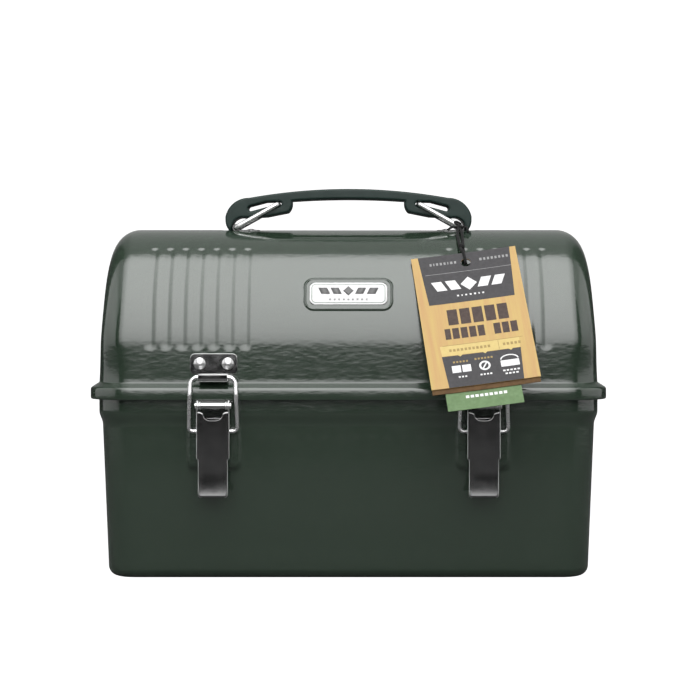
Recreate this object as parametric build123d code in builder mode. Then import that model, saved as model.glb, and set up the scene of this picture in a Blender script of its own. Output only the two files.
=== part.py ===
"""Domed steel lunch box with two draw latches, a sliding-link handle and a swing tag.

Row frame: X is the length, -Y the front with the latches, +Z up, the origin at the middle of the
floor. Millimetres throughout. Every piece is its own solid, written to parts/NAME.step.
"""
from build123d import *
from math import cos, radians, sin, sqrt, tan
import os

os.makedirs("parts", exist_ok=True)

# ---- driving dimensions -------------------------------------------------------------------------
SHEET = 0.8                      # steel of the body and the lid
WALL_X, WALL_Y = 160.0, 76.0     # half length and half width of the collar and of the lid's wall
CORNER = 22.0                    # vertical corners
END_ROUND = 16.0                 # round where the lid's dome meets its end faces
STEP_LOW, STEP_HIGH = 98.5, 105.5    # the body steps in below its collar
STEP_IN = 2.0
DRAFT = 2.2                      # slope of the lower walls, degrees
FLOOR_RADIUS = 6.5
BODY_TOP = 121.5
BEAD_OUT, BEAD_LOW = 3.2, 117.3  # rolled bead round the body's mouth
LIP_OUT, LIP_LOW, LIP_TOP = 5.6, 114.0, 122.6    # skirt of the lid
LIP_ROUND = 3.2
ARCH_Z = 148.0                   # axis of the dome, whose radius is WALL_Y
END_DRAFT = 3.5                  # lean of the lid's end faces, degrees

GROOVE_RADIUS, GROOVE_DEPTH, GROOVE_PITCH = 5.45, 0.9, 10.0
BODY_GROOVES_X = [GROOVE_PITCH * (k + 0.5) for k in range(13)]
BODY_GROOVE_LOW, BODY_GROOVE_HIGH, PAD_GROOVE_HIGH = 13.5, 92.5, 62.0
LID_GROOVES_X = [65.0 + GROOVE_PITCH * k for k in range(7)]
LID_GROOVE_LOW, LID_GROOVE_HIGH = 87.0, 38.0     # degrees from the top of the dome

LATCH_X = 85.0                   # latches in front, hinges behind
PAD_WIDTH, PAD_LOW, PAD_CORNER = 33.0, 70.6, 4.0

PIVOT = (7.0, 110.8)             # lever pivot: distance out from the wall, height
BAIL_PIN = (6.2, 94.7)
BAIL_TOP = (7.4, 128.6)
BAIL_BEND = (9.4, 118.0)         # where the bail bows out past the skirt
BAIL_WIRE = 2.7
BAIL_HALF = (15.3, 14.5, 14.1)   # at the pin, at the bend and at the top
LEVER_HALF, LEVER_SHEET, LEVER_OUT = 10.45, 1.0, 10.0

HINGE_OUT, HINGE_Z = 7.5, 111.0  # lid hinge: distance out from the rear wall, height
HINGE_PIN, HINGE_KNUCKLE = 1.5, 2.6
LEAF_HALF, LEAF_SHEET = 15.0, 1.2

RECESS_DEPTH = 1.6               # pressed panel on top of the dome
LINK_X, LINK_Z = 74.8, 225.2     # handle link pivot
LINK_WIRE, LINK_HALF = 3.2, 12.5
LINK_BAR = (46.8, 240.8)         # cross bar of the link, in the grip's slot
SLOT_LINE, SLOT_HEIGHT = [(45.6, 240.9), (54.5, 240.7), (64.6, 238.0)], 4.5
GRIP_HALF = 10.5
GRIP_TOP, GRIP_RADIUS, GRIP_THICK = 251.0, 370.0, 6.7

BADGE_RISE = 25.8                # degrees above level
TAG_LEAN = 7.5
CORD = 1.8
RUNNING = 0.05                   # radial clearance of pins


def save(solid, name):
    """Labels a finished piece and writes it."""
    solid.label = name
    export_step(solid, f"parts/{name}.step")


def side_plane(x, out, z, side):
    """A plane on the front (side -1) or rear (side 1) wall, its normal pointing outward."""
    return Plane(origin=(x, side * (WALL_Y + out), z), x_dir=(-side, 0, 0), z_dir=(0, side, 0))


def section_plane(x, side):
    """A plane across the box at x: its x axis is the way out from the wall, its y axis is up."""
    return Plane(origin=(x, side * WALL_Y, 0), x_dir=(0, side, 0), z_dir=(side, 0, 0))


# ---- the body -----------------------------------------------------------------------------------
def pad(x, side, inset):
    """The flat pad that a latch or hinge sits on, pressed out of the sloping wall."""
    with BuildPart() as made:
        with BuildSketch(side_plane(x, -inset, (PAD_LOW + STEP_HIGH) / 2, side)):
            RectangleRounded(PAD_WIDTH - 2 * inset, STEP_HIGH - PAD_LOW - 2 * inset, PAD_CORNER - inset)
        extrude(amount=-8, taper=-30)
    return made.part


def body_form(inset, top):
    """The outside of the body drawn in by inset on every side."""
    low_x, low_y = WALL_X - STEP_IN - inset, WALL_Y - STEP_IN - inset
    with BuildPart() as form:
        with BuildSketch(Plane.XY.offset(STEP_LOW)):
            RectangleRounded(2 * low_x, 2 * low_y, CORNER - inset)
        extrude(amount=-(STEP_LOW - inset), taper=DRAFT)
        fillet(form.edges().group_by(Axis.Z)[0], FLOOR_RADIUS - inset)
        with BuildSketch(Plane.XY.offset(STEP_LOW)):
            RectangleRounded(2 * low_x, 2 * low_y, CORNER - inset)
        with BuildSketch(Plane.XY.offset(STEP_HIGH)):
            RectangleRounded(2 * (low_x + STEP_IN), 2 * (low_y + STEP_IN), CORNER - inset)
        loft(ruled=True)
        with BuildSketch(Plane.XY.offset(STEP_HIGH)):
            RectangleRounded(2 * (low_x + STEP_IN), 2 * (low_y + STEP_IN), CORNER - inset)
        extrude(amount=top - STEP_HIGH)
        for x in (-LATCH_X, LATCH_X):
            add(pad(x, -1, inset))
            add(pad(x, 1, inset))
    return form.part


def capsule(radius, length):
    """A round bar with ball ends, standing on the origin."""
    with BuildPart() as bar:
        Cylinder(radius, length, align=(Align.CENTER, Align.CENTER, Align.MIN))
        Sphere(radius)
        with Locations((0, 0, length)):
            Sphere(radius)
    return bar.part


def body_grooves(extra):
    """The tools that press the upright grooves into the front and rear walls."""
    half_mark = sqrt(GROOVE_RADIUS ** 2 - (GROOVE_RADIUS - GROOVE_DEPTH) ** 2)
    stand_off = GROOVE_RADIUS - GROOVE_DEPTH
    tools = []
    for x in BODY_GROOVES_X:
        below_pad = abs(x - LATCH_X) < PAD_WIDTH / 2 + GROOVE_PITCH * 0.6
        high = (PAD_GROOVE_HIGH if below_pad else BODY_GROOVE_HIGH) - half_mark
        low = BODY_GROOVE_LOW + half_mark
        bar = capsule(GROOVE_RADIUS + extra, (high - low) / cos(radians(DRAFT)))
        wall = WALL_Y - STEP_IN - (STEP_LOW - low) * tan(radians(DRAFT)) + stand_off
        for side in (-1, 1):
            for end in (-1, 1):
                tools.append(Pos(end * x, side * wall, low) * Rot(-side * DRAFT, 0, 0) * bar)
    return tools


RIVET_SHANK = 2.0
REAR_RIVETS = [(sx * LATCH_X + dx, 88.0) for sx in (-1, 1) for dx in (-9, 9)]
BASE_RIVETS = [(sx * LATCH_X, z) for sx in (-1, 1) for z in (81.0, 97.0)]
KEEPER_RIVETS = [(sx * LATCH_X + dx, 137.1) for sx in (-1, 1) for dx in (-8.9, 8.9)]
LID_LEAF_RIVETS = [(sx * LATCH_X + dx, 135.5) for sx in (-1, 1) for dx in (-9, 9)]
BRACKET_RIVETS = [(sx * 65.0, dy) for sx in (-1, 1) for dy in (-5, 5)]


def wall_holes(places, side):
    """Rivet holes through a wall: bars along Y at each x, z."""
    with BuildPart() as holes:
        with Locations(*[side_plane(x, 0, z, side) for x, z in places]):
            Cylinder(RIVET_SHANK + RUNNING, 12)
    return holes.part


with BuildPart() as body_cavity:
    add(body_form(SHEET, BODY_TOP + 5))
    add(body_grooves(SHEET), mode=Mode.SUBTRACT)

with BuildPart() as body_shell:
    add(body_form(0, BODY_TOP))
    with BuildSketch(Plane.XY.offset(BEAD_LOW)):
        RectangleRounded(2 * (WALL_X + BEAD_OUT), 2 * (WALL_Y + BEAD_OUT), CORNER + BEAD_OUT)
    extrude(amount=BODY_TOP - BEAD_LOW)
    fillet(body_shell.faces().sort_by(Axis.Z)[-1].outer_wire().edges(), 1.9)
    add(body_grooves(0), mode=Mode.SUBTRACT)
    add(body_cavity.part, mode=Mode.SUBTRACT)
    add(wall_holes(REAR_RIVETS, 1), mode=Mode.SUBTRACT)
    add(wall_holes(BASE_RIVETS, -1), mode=Mode.SUBTRACT)
save(body_shell.part, "body_shell")


# ---- the lid ------------------------------------------------------------------------------------
def recess_tool(inset):
    """What the pressed panel on top takes away: a shallow slice of the dome with tapered ends."""
    with BuildPart() as tool:
        with BuildSketch(Plane.XY.offset(200)):
            with BuildLine():
                Polyline((-49, -31), (49, -31), (73, -15), (85, -13), (85, 13), (73, 15), (49, 31),
                         (-49, 31), (-73, 15), (-85, 13), (-85, -13), (-73, -15), close=True)
            make_face()
            if inset:
                offset(amount=inset, kind=Kind.INTERSECTION)
        extrude(amount=40)
        with Locations(Location((0, 0, ARCH_Z), (0, 90, 0))):
            Cylinder(WALL_Y - RECESS_DEPTH - inset, 400, mode=Mode.SUBTRACT)
    return tool.part


def arch_form(inset, low):
    """The lid without its skirt: upright walls, a half-round dome and leaning ends."""
    reach = WALL_Y - inset
    with BuildPart() as form:
        with BuildSketch(Plane.YZ):
            with BuildLine():
                Line((reach, ARCH_Z), (reach, low))
                Line((reach, low), (-reach, low))
                Line((-reach, low), (-reach, ARCH_Z))
                ThreePointArc((-reach, ARCH_Z), (0, ARCH_Z + reach), (reach, ARCH_Z))
            make_face()
        extrude(amount=WALL_X + 10, both=True)
        for end in (-1, 1):
            normal = (end * cos(radians(END_DRAFT)), 0, sin(radians(END_DRAFT)))
            cut = Plane(origin=(end * (WALL_X - inset), 0, LIP_TOP), x_dir=(0, 1, 0), z_dir=normal)
            split(bisect_by=cut, keep=Keep.BOTTOM)
        arches = [form.faces().sort_by(Axis.X)[k].edges().sort_by(Axis.Z)[1:] for k in (0, -1)]
        fillet(arches[0] + arches[1], END_ROUND - inset)
    return form.part


def lid_grooves(extra):
    """The tools that press the curved grooves into the dome, front and rear, near both ends."""
    reach = WALL_Y + GROOVE_RADIUS - GROOVE_DEPTH
    with BuildPart() as arc:
        for turn in (LID_GROOVE_LOW, LID_GROOVE_HIGH):
            with Locations((0, -reach * sin(radians(turn)), ARCH_Z + reach * cos(radians(turn)))):
                Sphere(GROOVE_RADIUS + extra)
        start = radians(LID_GROOVE_HIGH)
        middle = radians((LID_GROOVE_HIGH + LID_GROOVE_LOW) / 2)
        stop = radians(LID_GROOVE_LOW)
        with BuildLine(Plane.YZ):
            ThreePointArc(*[(-reach * sin(a), ARCH_Z + reach * cos(a)) for a in (start, middle, stop)])
        across = Plane(origin=(0, -reach * sin(start), ARCH_Z + reach * cos(start)), x_dir=(1, 0, 0),
                       z_dir=(0, -cos(start), -sin(start)))
        with BuildSketch(across):
            Circle(GROOVE_RADIUS + extra)
        sweep()
    front = arc.part
    rear = mirror(front, about=Plane.XZ, mode=Mode.PRIVATE)
    return [Pos(end * x, 0, 0) * tool for x in LID_GROOVES_X for end in (-1, 1) for tool in (front, rear)]


def skirt_form(inset, low):
    """The block that the skirt of the lid wraps, rounded over at its top edge."""
    out = LIP_OUT - inset
    with BuildPart() as form:
        with BuildSketch(Plane.XY.offset(low)):
            RectangleRounded(2 * (WALL_X + out), 2 * (WALL_Y + out), CORNER + out)
        extrude(amount=LIP_TOP - inset - low)
        fillet(form.edges().group_by(Axis.Z)[-1], LIP_ROUND - inset)
    return form.part


with BuildPart() as lid_cavity:
    add(arch_form(SHEET, LIP_LOW - 5))
    add(recess_tool(SHEET), mode=Mode.SUBTRACT)
    add(lid_grooves(SHEET), mode=Mode.SUBTRACT)
    add(skirt_form(SHEET, LIP_LOW - 5))

with BuildPart() as lid_shell:
    add(arch_form(0, LIP_LOW))
    add(skirt_form(0, LIP_LOW))
    add(recess_tool(0), mode=Mode.SUBTRACT)
    add(lid_grooves(0), mode=Mode.SUBTRACT)
    add(lid_cavity.part, mode=Mode.SUBTRACT)
    add(wall_holes(KEEPER_RIVETS, -1), mode=Mode.SUBTRACT)
    add(wall_holes(LID_LEAF_RIVETS, 1), mode=Mode.SUBTRACT)
    with Locations(*[(x, y, ARCH_Z + WALL_Y) for x, y in BRACKET_RIVETS]):
        Cylinder(RIVET_SHANK + RUNNING, 12, mode=Mode.SUBTRACT)
save(lid_shell.part, "lid_shell")


# ---- rivets -------------------------------------------------------------------------------------
def rivet(head_radius, head_height, grip):
    """A rivet with its domed head up, its shank through grip and a flat tail below."""
    with BuildPart() as made:
        Cylinder(head_radius, head_height, align=(Align.CENTER, Align.CENTER, Align.MIN))
        fillet(made.edges().group_by(Axis.Z)[-1], 0.8 * head_height)
        Cylinder(RIVET_SHANK, grip + 0.9, align=(Align.CENTER, Align.CENTER, Align.MAX))
        with Locations((0, 0, -grip)):
            Cylinder(RIVET_SHANK + 0.9, 0.9, align=(Align.CENTER, Align.CENTER, Align.MAX))
    return made.part


def rivet_group(name, places, side, out, head_radius, head_height, grip):
    """One node of rivets, all through the same wall."""
    with BuildPart() as group:
        for x, z in places:
            with Locations(side_plane(x, out, z, side)):
                add(rivet(head_radius, head_height, grip))
    save(group.part, name)


PLATE = 1.0
rivet_group("keeper_rivets", KEEPER_RIVETS, -1, PLATE + 0.05, 3.8, 1.6, PLATE + SHEET + 0.1)
rivet_group("latch_base_rivets", BASE_RIVETS, -1, PLATE + 0.05, 3.2, 1.3, PLATE + SHEET + 0.1)
rivet_group("hinge_body_rivets", REAR_RIVETS, 1, LEAF_SHEET + 0.05, 3.4, 1.5, LEAF_SHEET + SHEET + 0.1)
rivet_group("hinge_lid_rivets", LID_LEAF_RIVETS, 1, LEAF_SHEET + 0.05, 3.4, 1.5, LEAF_SHEET + SHEET + 0.1)

FLOOR_OF_RECESS = ARCH_Z + WALL_Y - RECESS_DEPTH
with BuildPart() as bracket_rivets:
    for x, y in BRACKET_RIVETS:
        with Locations((x, y, FLOOR_OF_RECESS + PLATE + 0.05)):
            add(rivet(2.8, 1.2, PLATE + SHEET + 0.9))
save(bracket_rivets.part, "handle_bracket_rivets")


# ---- latches ------------------------------------------------------------------------------------
def keeper(x):
    """The plate riveted to the lid, with the J-shaped hook that the bail pulls down on."""
    seat_z, seat_radius = 129.45, 2.8
    left, right = BAIL_TOP[0] - seat_radius, BAIL_TOP[0] + seat_radius
    with BuildPart() as made:
        with BuildSketch(side_plane(x, 0.05, 137.0, -1)):
            RectangleRounded(29.7, 12.7, 3.0)
            with Locations(*[(dx, 0.1) for dx in (-8.9, 8.9)]):
                Circle(RIVET_SHANK + RUNNING, mode=Mode.SUBTRACT)
        extrude(amount=PLATE)
        with BuildSketch(section_plane(x, -1)):
            with BuildLine() as hook:
                Line((0.55, 133.0), (0.55, 131.6))
                Line((0.55, 131.6), (left, seat_z))
                ThreePointArc((left, seat_z), (BAIL_TOP[0], seat_z - seat_radius), (right, seat_z))
                Line((right, seat_z), (right, seat_z + 1.0))
            trace(hook.line, line_width=PLATE)
        extrude(amount=9.2, both=True)
    return made.part


def latch_base(x):
    """The plate riveted to the body, rolled at the top into the lever's knuckle."""
    with BuildPart() as made:
        with BuildSketch(side_plane(x, 0.05, 88.5, -1)):
            RectangleRounded(15, 29, 2.0)
            with Locations((0, 81.0 - 88.5), (0, 97.0 - 88.5)):
                Circle(RIVET_SHANK + RUNNING, mode=Mode.SUBTRACT)
        extrude(amount=PLATE)
        with BuildSketch(section_plane(x, -1)):
            with BuildLine() as strap:
                Line((0.55, 101.5), (0.55, 103.5))
                Line((0.55, 103.5), (PIVOT[0] - 1.8, PIVOT[1] - 0.6))
            trace(strap.line, line_width=PLATE)
            with Locations(PIVOT):
                Circle(2.5)
        extrude(amount=7.5, both=True)
        with BuildSketch(section_plane(x, -1)):
            with Locations(PIVOT):
                Circle(1.25 + RUNNING)
        extrude(amount=8, both=True, mode=Mode.SUBTRACT)
    return made.part


def lever(x):
    """The pressed lever: a flat face with a flared finger tab and two side flanges."""
    middle = LEVER_OUT - LEVER_SHEET / 2
    with BuildPart() as made:
        with BuildSketch(section_plane(x, -1)):
            with BuildLine() as face:
                Line((middle, 107.0), (middle, 72.0))
                RadiusArc((middle, 72.0), (middle + 0.6, 54.8), 240.0)
            trace(face.line, line_width=LEVER_SHEET)
        extrude(amount=LEVER_HALF - LEVER_SHEET, both=True)
        tip = made.edges().filter_by(lambda e: e.length < 1.2 * LEVER_SHEET).group_by(Axis.Z)[0]
        fillet(tip, 2.0)
        for flange in (-1, 1):
            with BuildSketch(section_plane(x + flange * (LEVER_HALF - LEVER_SHEET / 2), -1)):
                with Locations(PIVOT):
                    Circle(3.1)
                with Locations((6.4, BAIL_PIN[1])):
                    Circle(3.4)
                with Locations((7.9, 79.5)):
                    Circle(2.1)
                with Locations((8.5, 105.5)):
                    Circle(1.5)
                make_hull()
            extrude(amount=LEVER_SHEET / 2, both=True)
        with BuildSketch(side_plane(x, LEVER_OUT + 1, 101.7, -1)):
            with Locations((0, 8.2)):
                RectangleRounded(12.5, 16.5, 5.0)
        extrude(amount=-3, mode=Mode.SUBTRACT)
        with BuildSketch(section_plane(x, -1)):
            with Locations(PIVOT):
                Circle(1.25 + RUNNING)
            with Locations(BAIL_PIN):
                Circle(BAIL_WIRE / 2 + RUNNING)
        extrude(amount=LEVER_HALF + 1, both=True, mode=Mode.SUBTRACT)
    return made.part


def lever_pin(x):
    """The pin that the lever turns on, peened over outside both flanges."""
    with BuildPart() as made:
        with BuildSketch(section_plane(x, -1)):
            with Locations(PIVOT):
                Circle(1.25)
        extrude(amount=LEVER_HALF + 0.9, both=True)
        for end in (-1, 1):
            with BuildSketch(section_plane(x + end * (LEVER_HALF + 0.5), -1)):
                with Locations(PIVOT):
                    Circle(2.0)
            extrude(amount=0.4, both=True)
    return made.part


def bent_wire(points, radii, diameter):
    """A round wire bent through the points."""
    with BuildPart() as made:
        with BuildLine() as path:
            FilletPolyline(*points, radius=radii)
        with BuildSketch(Plane(origin=path.line @ 0, z_dir=path.line % 0)):
            Circle(diameter / 2)
        sweep(path=path.line)
    return made.part


def bail(x):
    """The wire loop from the lever up round the keeper's hook, bowed out past the lid's skirt."""
    def at(across, out, z):
        return (x + across, -WALL_Y - out, z)
    low, middle, top = BAIL_HALF
    half = [at(8.8, *BAIL_PIN), at(low, *BAIL_PIN), at(middle, *BAIL_BEND), at(top, *BAIL_TOP)]
    other = [(2 * x - px, py, pz) for px, py, pz in reversed(half)]
    return bent_wire(half + other, [2.6, 9.0, 4.6, 4.6, 9.0, 2.6], BAIL_WIRE)


for side_name, x in (("left", -LATCH_X), ("right", LATCH_X)):
    save(keeper(x), f"keeper_{side_name}")
    save(latch_base(x), f"latch_base_{side_name}")
    save(lever(x), f"latch_lever_{side_name}")
    save(lever_pin(x), f"latch_lever_pin_{side_name}")
    save(bail(x), f"latch_bail_{side_name}")


# ---- rear hinges --------------------------------------------------------------------------------
KNUCKLE_HALF = 4.8


def hinge_leaf(x, plate_z, plate_height, rivet_z, strap_points, knuckles):
    """A leaf riveted to the rear wall, with a strap that runs out to its knuckles."""
    with BuildPart() as made:
        with BuildSketch(side_plane(x, 0.05, plate_z, 1)):
            RectangleRounded(2 * LEAF_HALF, plate_height, 2.5)
            with Locations((-9, rivet_z - plate_z), (9, rivet_z - plate_z)):
                Circle(RIVET_SHANK + RUNNING, mode=Mode.SUBTRACT)
        extrude(amount=LEAF_SHEET)
        with BuildSketch(section_plane(x, 1)):
            with BuildLine() as strap:
                Polyline(*strap_points)
            trace(strap.line, line_width=LEAF_SHEET)
        extrude(amount=LEAF_HALF, both=True)
        for k_low, k_high in knuckles:
            with BuildSketch(section_plane(x + k_low, 1)):
                with Locations((HINGE_OUT, HINGE_Z)):
                    Circle(HINGE_KNUCKLE)
            extrude(amount=k_high - k_low)
    return made.part


def lid_leaf(x):
    points = [(6.35, 112.4), (6.35, 121.0), (0.65, 127.0), (0.65, 131.0)]
    with BuildPart() as made:
        add(hinge_leaf(x, 135.0, 17.0, 135.5, points, [(-KNUCKLE_HALF, KNUCKLE_HALF)]))
        for end in (-1, 1):
            with Locations((x + end * (KNUCKLE_HALF + 10), WALL_Y + HINGE_OUT, HINGE_Z)):
                Box(20, 12, 2 * HINGE_KNUCKLE + 1.2, mode=Mode.SUBTRACT)
        with Locations(Location((x, WALL_Y + HINGE_OUT, HINGE_Z), (0, 90, 0))):
            Cylinder(HINGE_PIN + RUNNING, 50, mode=Mode.SUBTRACT)
    return made.part


def body_leaf(x):
    points = [(0.65, 99.0), (0.65, 101.5), (HINGE_OUT - 0.6, HINGE_Z - 2.1)]
    inner, outer = KNUCKLE_HALF + 0.3, LEAF_HALF
    with BuildPart() as made:
        add(hinge_leaf(x, 89.0, 24.0, 88.0, points, [(-outer, -inner), (inner, outer)]))
        with Locations((x, WALL_Y + HINGE_OUT, HINGE_Z)):
            Box(2 * inner, 12, 2 * HINGE_KNUCKLE + 1.2, mode=Mode.SUBTRACT)
        with Locations(Location((x, WALL_Y + HINGE_OUT, HINGE_Z), (0, 90, 0))):
            Cylinder(HINGE_PIN + RUNNING, 50, mode=Mode.SUBTRACT)
    return made.part


def hinge_pin(x):
    with BuildPart() as made:
        with Locations(Location((x, WALL_Y + HINGE_OUT, HINGE_Z), (0, 90, 0))):
            Cylinder(HINGE_PIN, 2 * LEAF_HALF + 1)
            for end in (-1, 1):
                with Locations((0, 0, end * (LEAF_HALF + 0.7))):
                    Cylinder(2.3, 1.2)
    return made.part


for side_name, x in (("left", -LATCH_X), ("right", LATCH_X)):
    save(body_leaf(x), f"hinge_body_leaf_{side_name}")
    save(lid_leaf(x), f"hinge_lid_leaf_{side_name}")
    save(hinge_pin(x), f"hinge_pin_{side_name}")


# ---- the handle ---------------------------------------------------------------------------------
def grip_top(x):
    return GRIP_TOP - x * x / (2 * GRIP_RADIUS)


with BuildPart() as handle_grip:
    with BuildSketch(Plane.XZ):
        with BuildLine():
            ThreePointArc((-74, grip_top(74)), (0, GRIP_TOP), (74, grip_top(74)))
            for end in (-1, 1):
                ThreePointArc((end * 74, grip_top(74)), (end * 80.4, 240.6), (end * 82.4, 235.0))
                Line((end * 82.4, 235.0), (end * 82.3, 230.0))
                ThreePointArc((end * 82.3, 230.0), (end * 81.4, 226.2), (end * 79.2, 223.0))
                Line((end * 79.2, 223.0), (end * 77.9, 223.0))
                Line((end * 77.9, 223.0), (end * 77.6, 226.0))
                ThreePointArc((end * 77.6, 226.0), (end * 75.0, 230.4), (end * 68.5, 231.8))
                Line((end * 68.5, 231.8), (end * 54.0, 232.6))
                Line((end * 54.0, 232.6), (end * 40.0, 235.4))
                ThreePointArc((end * 40.0, 235.4), (end * 38.3, 237.6), (end * 37.4, 243.0))
            ThreePointArc((-37.4, 243.0), (0, GRIP_TOP - GRIP_THICK), (37.4, 243.0))
        make_face()
        for end in (-1, 1):
            for (x0, z0), (x1, z1) in zip(SLOT_LINE, SLOT_LINE[1:]):
                SlotCenterPoint((end * (x0 + x1) / 2, (z0 + z1) / 2), (end * x1, z1), SLOT_HEIGHT,
                                mode=Mode.SUBTRACT)
    extrude(amount=GRIP_HALF, both=True)
    outline = handle_grip.faces().sort_by(Axis.Z)[-1].edges().filter_by(GeomType.CIRCLE)
    fillet(outline, 2.4)
save(handle_grip.part, "handle_grip")


def handle_link(end):
    foot, bar = (LINK_X, LINK_Z), LINK_BAR
    points = [(end * foot[0], -1.5, foot[1]), (end * foot[0], -LINK_HALF, foot[1]),
              (end * bar[0], -LINK_HALF, bar[1]), (end * bar[0], LINK_HALF, bar[1]),
              (end * foot[0], LINK_HALF, foot[1]), (end * foot[0], 1.5, foot[1])]
    return bent_wire(points, 3.0, LINK_WIRE)


def handle_bracket(end):
    """A strap riveted to the top panel, rolled round the foot of the link."""
    with BuildPart() as made:
        with BuildSketch(Plane.XY.offset(FLOOR_OF_RECESS + 0.02)):
            with Locations((end * 66.9, 0)):
                RectangleRounded(15.8, 16, 2.0)
            with Locations((end * 65.0, -5), (end * 65.0, 5)):
                Circle(RIVET_SHANK + RUNNING, mode=Mode.SUBTRACT)
        extrude(amount=PLATE)
        with BuildSketch(Plane.XZ):
            with Locations((end * LINK_X, LINK_Z)):
                Circle(LINK_WIRE / 2 + 0.95)
        extrude(amount=8, both=True)
        with BuildSketch(Plane.XZ):
            with Locations((end * LINK_X, LINK_Z)):
                Circle(LINK_WIRE / 2 + RUNNING)
        extrude(amount=9, both=True, mode=Mode.SUBTRACT)
    return made.part


for side_name, end in (("left", -1), ("right", 1)):
    save(handle_link(end), f"handle_link_{side_name}")
    save(handle_bracket(end), f"handle_bracket_{side_name}")


# ---- the badge ----------------------------------------------------------------------------------
def badge_plane(out):
    rise = radians(BADGE_RISE)
    reach = WALL_Y + out
    return Plane(origin=(0, -reach * cos(rise), ARCH_Z + reach * sin(rise)), x_dir=(1, 0, 0),
                 z_dir=(0, -cos(rise), sin(rise)))


def dome_band(low, high):
    """The part of space between two cylinders about the dome's axis."""
    with BuildPart() as band:
        with Locations(Location((0, 0, ARCH_Z), (0, 90, 0))):
            Cylinder(WALL_Y + high, 200)
            Cylinder(WALL_Y + low, 200, mode=Mode.SUBTRACT)
    return band.part


with BuildPart() as badge_bezel:
    with BuildSketch(badge_plane(5)):
        RectangleRounded(55.3, 21.6, 5.8)
        RectangleRounded(49.0, 15.6, 4.0, mode=Mode.SUBTRACT)
    extrude(amount=-20)
    add(dome_band(0.05, 1.5), mode=Mode.INTERSECT)
save(badge_bezel.part, "badge_bezel")

with BuildPart() as badge_plate:
    with BuildSketch(badge_plane(5)):
        RectangleRounded(48.6, 15.2, 3.8)
    extrude(amount=-20)
    add(dome_band(0.05, 0.85), mode=Mode.INTERSECT)
save(badge_plate.part, "badge_plate")


# ---- the bottle wire inside the lid ---------------------------------------------------------------
BOTTLE_WIRE, BOTTLE_X, BOTTLE_Z = 3.0, 42.0, 127.0
BOTTLE_REAR, BOTTLE_FRONT = 70.5, -67.5

bottle_points = [(-BOTTLE_X - 6, BOTTLE_REAR, BOTTLE_Z), (-BOTTLE_X, BOTTLE_REAR, BOTTLE_Z),
                 (-BOTTLE_X, BOTTLE_FRONT, BOTTLE_Z), (BOTTLE_X, BOTTLE_FRONT, BOTTLE_Z),
                 (BOTTLE_X, BOTTLE_REAR, BOTTLE_Z), (BOTTLE_X + 6, BOTTLE_REAR, BOTTLE_Z)]
save(bent_wire(bottle_points, [2.6, 10.0, 10.0, 2.6], BOTTLE_WIRE), "bottle_wire")

INNER_WALL = WALL_Y - SHEET
for side_name, end in (("left", -1), ("right", 1)):
    with BuildPart() as saddle:
        eye_x = end * (BOTTLE_X + 4.6)
        with Locations((eye_x, INNER_WALL - 0.55, BOTTLE_Z + 6)):
            Box(5, 1.0, 14)
        with BuildSketch(Plane.YZ.offset(eye_x)):
            with Locations((BOTTLE_REAR, BOTTLE_Z)):
                Circle(2.6)
            with Locations((INNER_WALL - 2.6, BOTTLE_Z + 2)):
                Rectangle(5.1, 3)
        extrude(amount=2.5, both=True)
        with Locations(Location((eye_x, BOTTLE_REAR, BOTTLE_Z), (0, 90, 0))):
            Cylinder(BOTTLE_WIRE / 2 + RUNNING, 20, mode=Mode.SUBTRACT)
    save(saddle.part, f"bottle_saddle_{side_name}")

with BuildPart() as bottle_clip:
    with BuildSketch(Plane.YZ):
        with BuildLine() as clip_line:
            Line((-INNER_WALL + 0.55, BOTTLE_Z + 14), (-INNER_WALL + 0.55, BOTTLE_Z + 4.5))
            Line((-INNER_WALL + 0.55, BOTTLE_Z + 4.5), (BOTTLE_FRONT - 2.1, BOTTLE_Z + 2.6))
            Line((BOTTLE_FRONT - 2.1, BOTTLE_Z + 2.6), (BOTTLE_FRONT - 2.1, BOTTLE_Z - 2.5))
        trace(clip_line.line, line_width=0.8)
        with BuildLine() as spring_line:
            Line((BOTTLE_FRONT - 2.1, BOTTLE_Z + 2.6), (BOTTLE_FRONT + 2.1, BOTTLE_Z + 2.6))
            Line((BOTTLE_FRONT + 2.1, BOTTLE_Z + 2.6), (BOTTLE_FRONT + 2.1, BOTTLE_Z - 2.5))
        trace(spring_line.line, line_width=0.8)
    extrude(amount=8, both=True)
save(bottle_clip.part, "bottle_clip")


# ---- the swing tag --------------------------------------------------------------------------------
def tag_plane(across, out, up):
    """A plane along the tag: it touches the dome 53 degrees from the top and leans over."""
    y = -0.8 * (WALL_Y + out) + 0.6 * up
    z = ARCH_Z + 0.6 * (WALL_Y + out) + 0.8 * up
    lean = radians(TAG_LEAN)
    return Plane(origin=(across, y, z), x_dir=(cos(lean), 0.6 * sin(lean), 0.8 * sin(lean)), z_dir=(0, -0.8, 0.6))


TAG_HOLE = (74.9, 6.3)           # along X, and up the tag from where it touches the dome
TAG_WIDTH, TAG_HEIGHT = 68.4, 104.0
with BuildPart() as tag_card:
    with BuildSketch(tag_plane(TAG_HOLE[0], 2.6, TAG_HOLE[1])):
        with Locations((1.5, 8.6 - TAG_HEIGHT / 2)):
            Rectangle(TAG_WIDTH, TAG_HEIGHT)
        Circle(3.2, mode=Mode.SUBTRACT)
    extrude(amount=0.6)
save(tag_card.part, "tag_card")

with BuildPart() as tag_inner_card:
    with BuildSketch(tag_plane(TAG_HOLE[0], 1.9, TAG_HOLE[1])):
        with Locations((-2.8, -80.0)):
            Rectangle(49.0, 48.0)
    extrude(amount=0.5)
save(tag_inner_card.part, "tag_inner_card")

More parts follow.
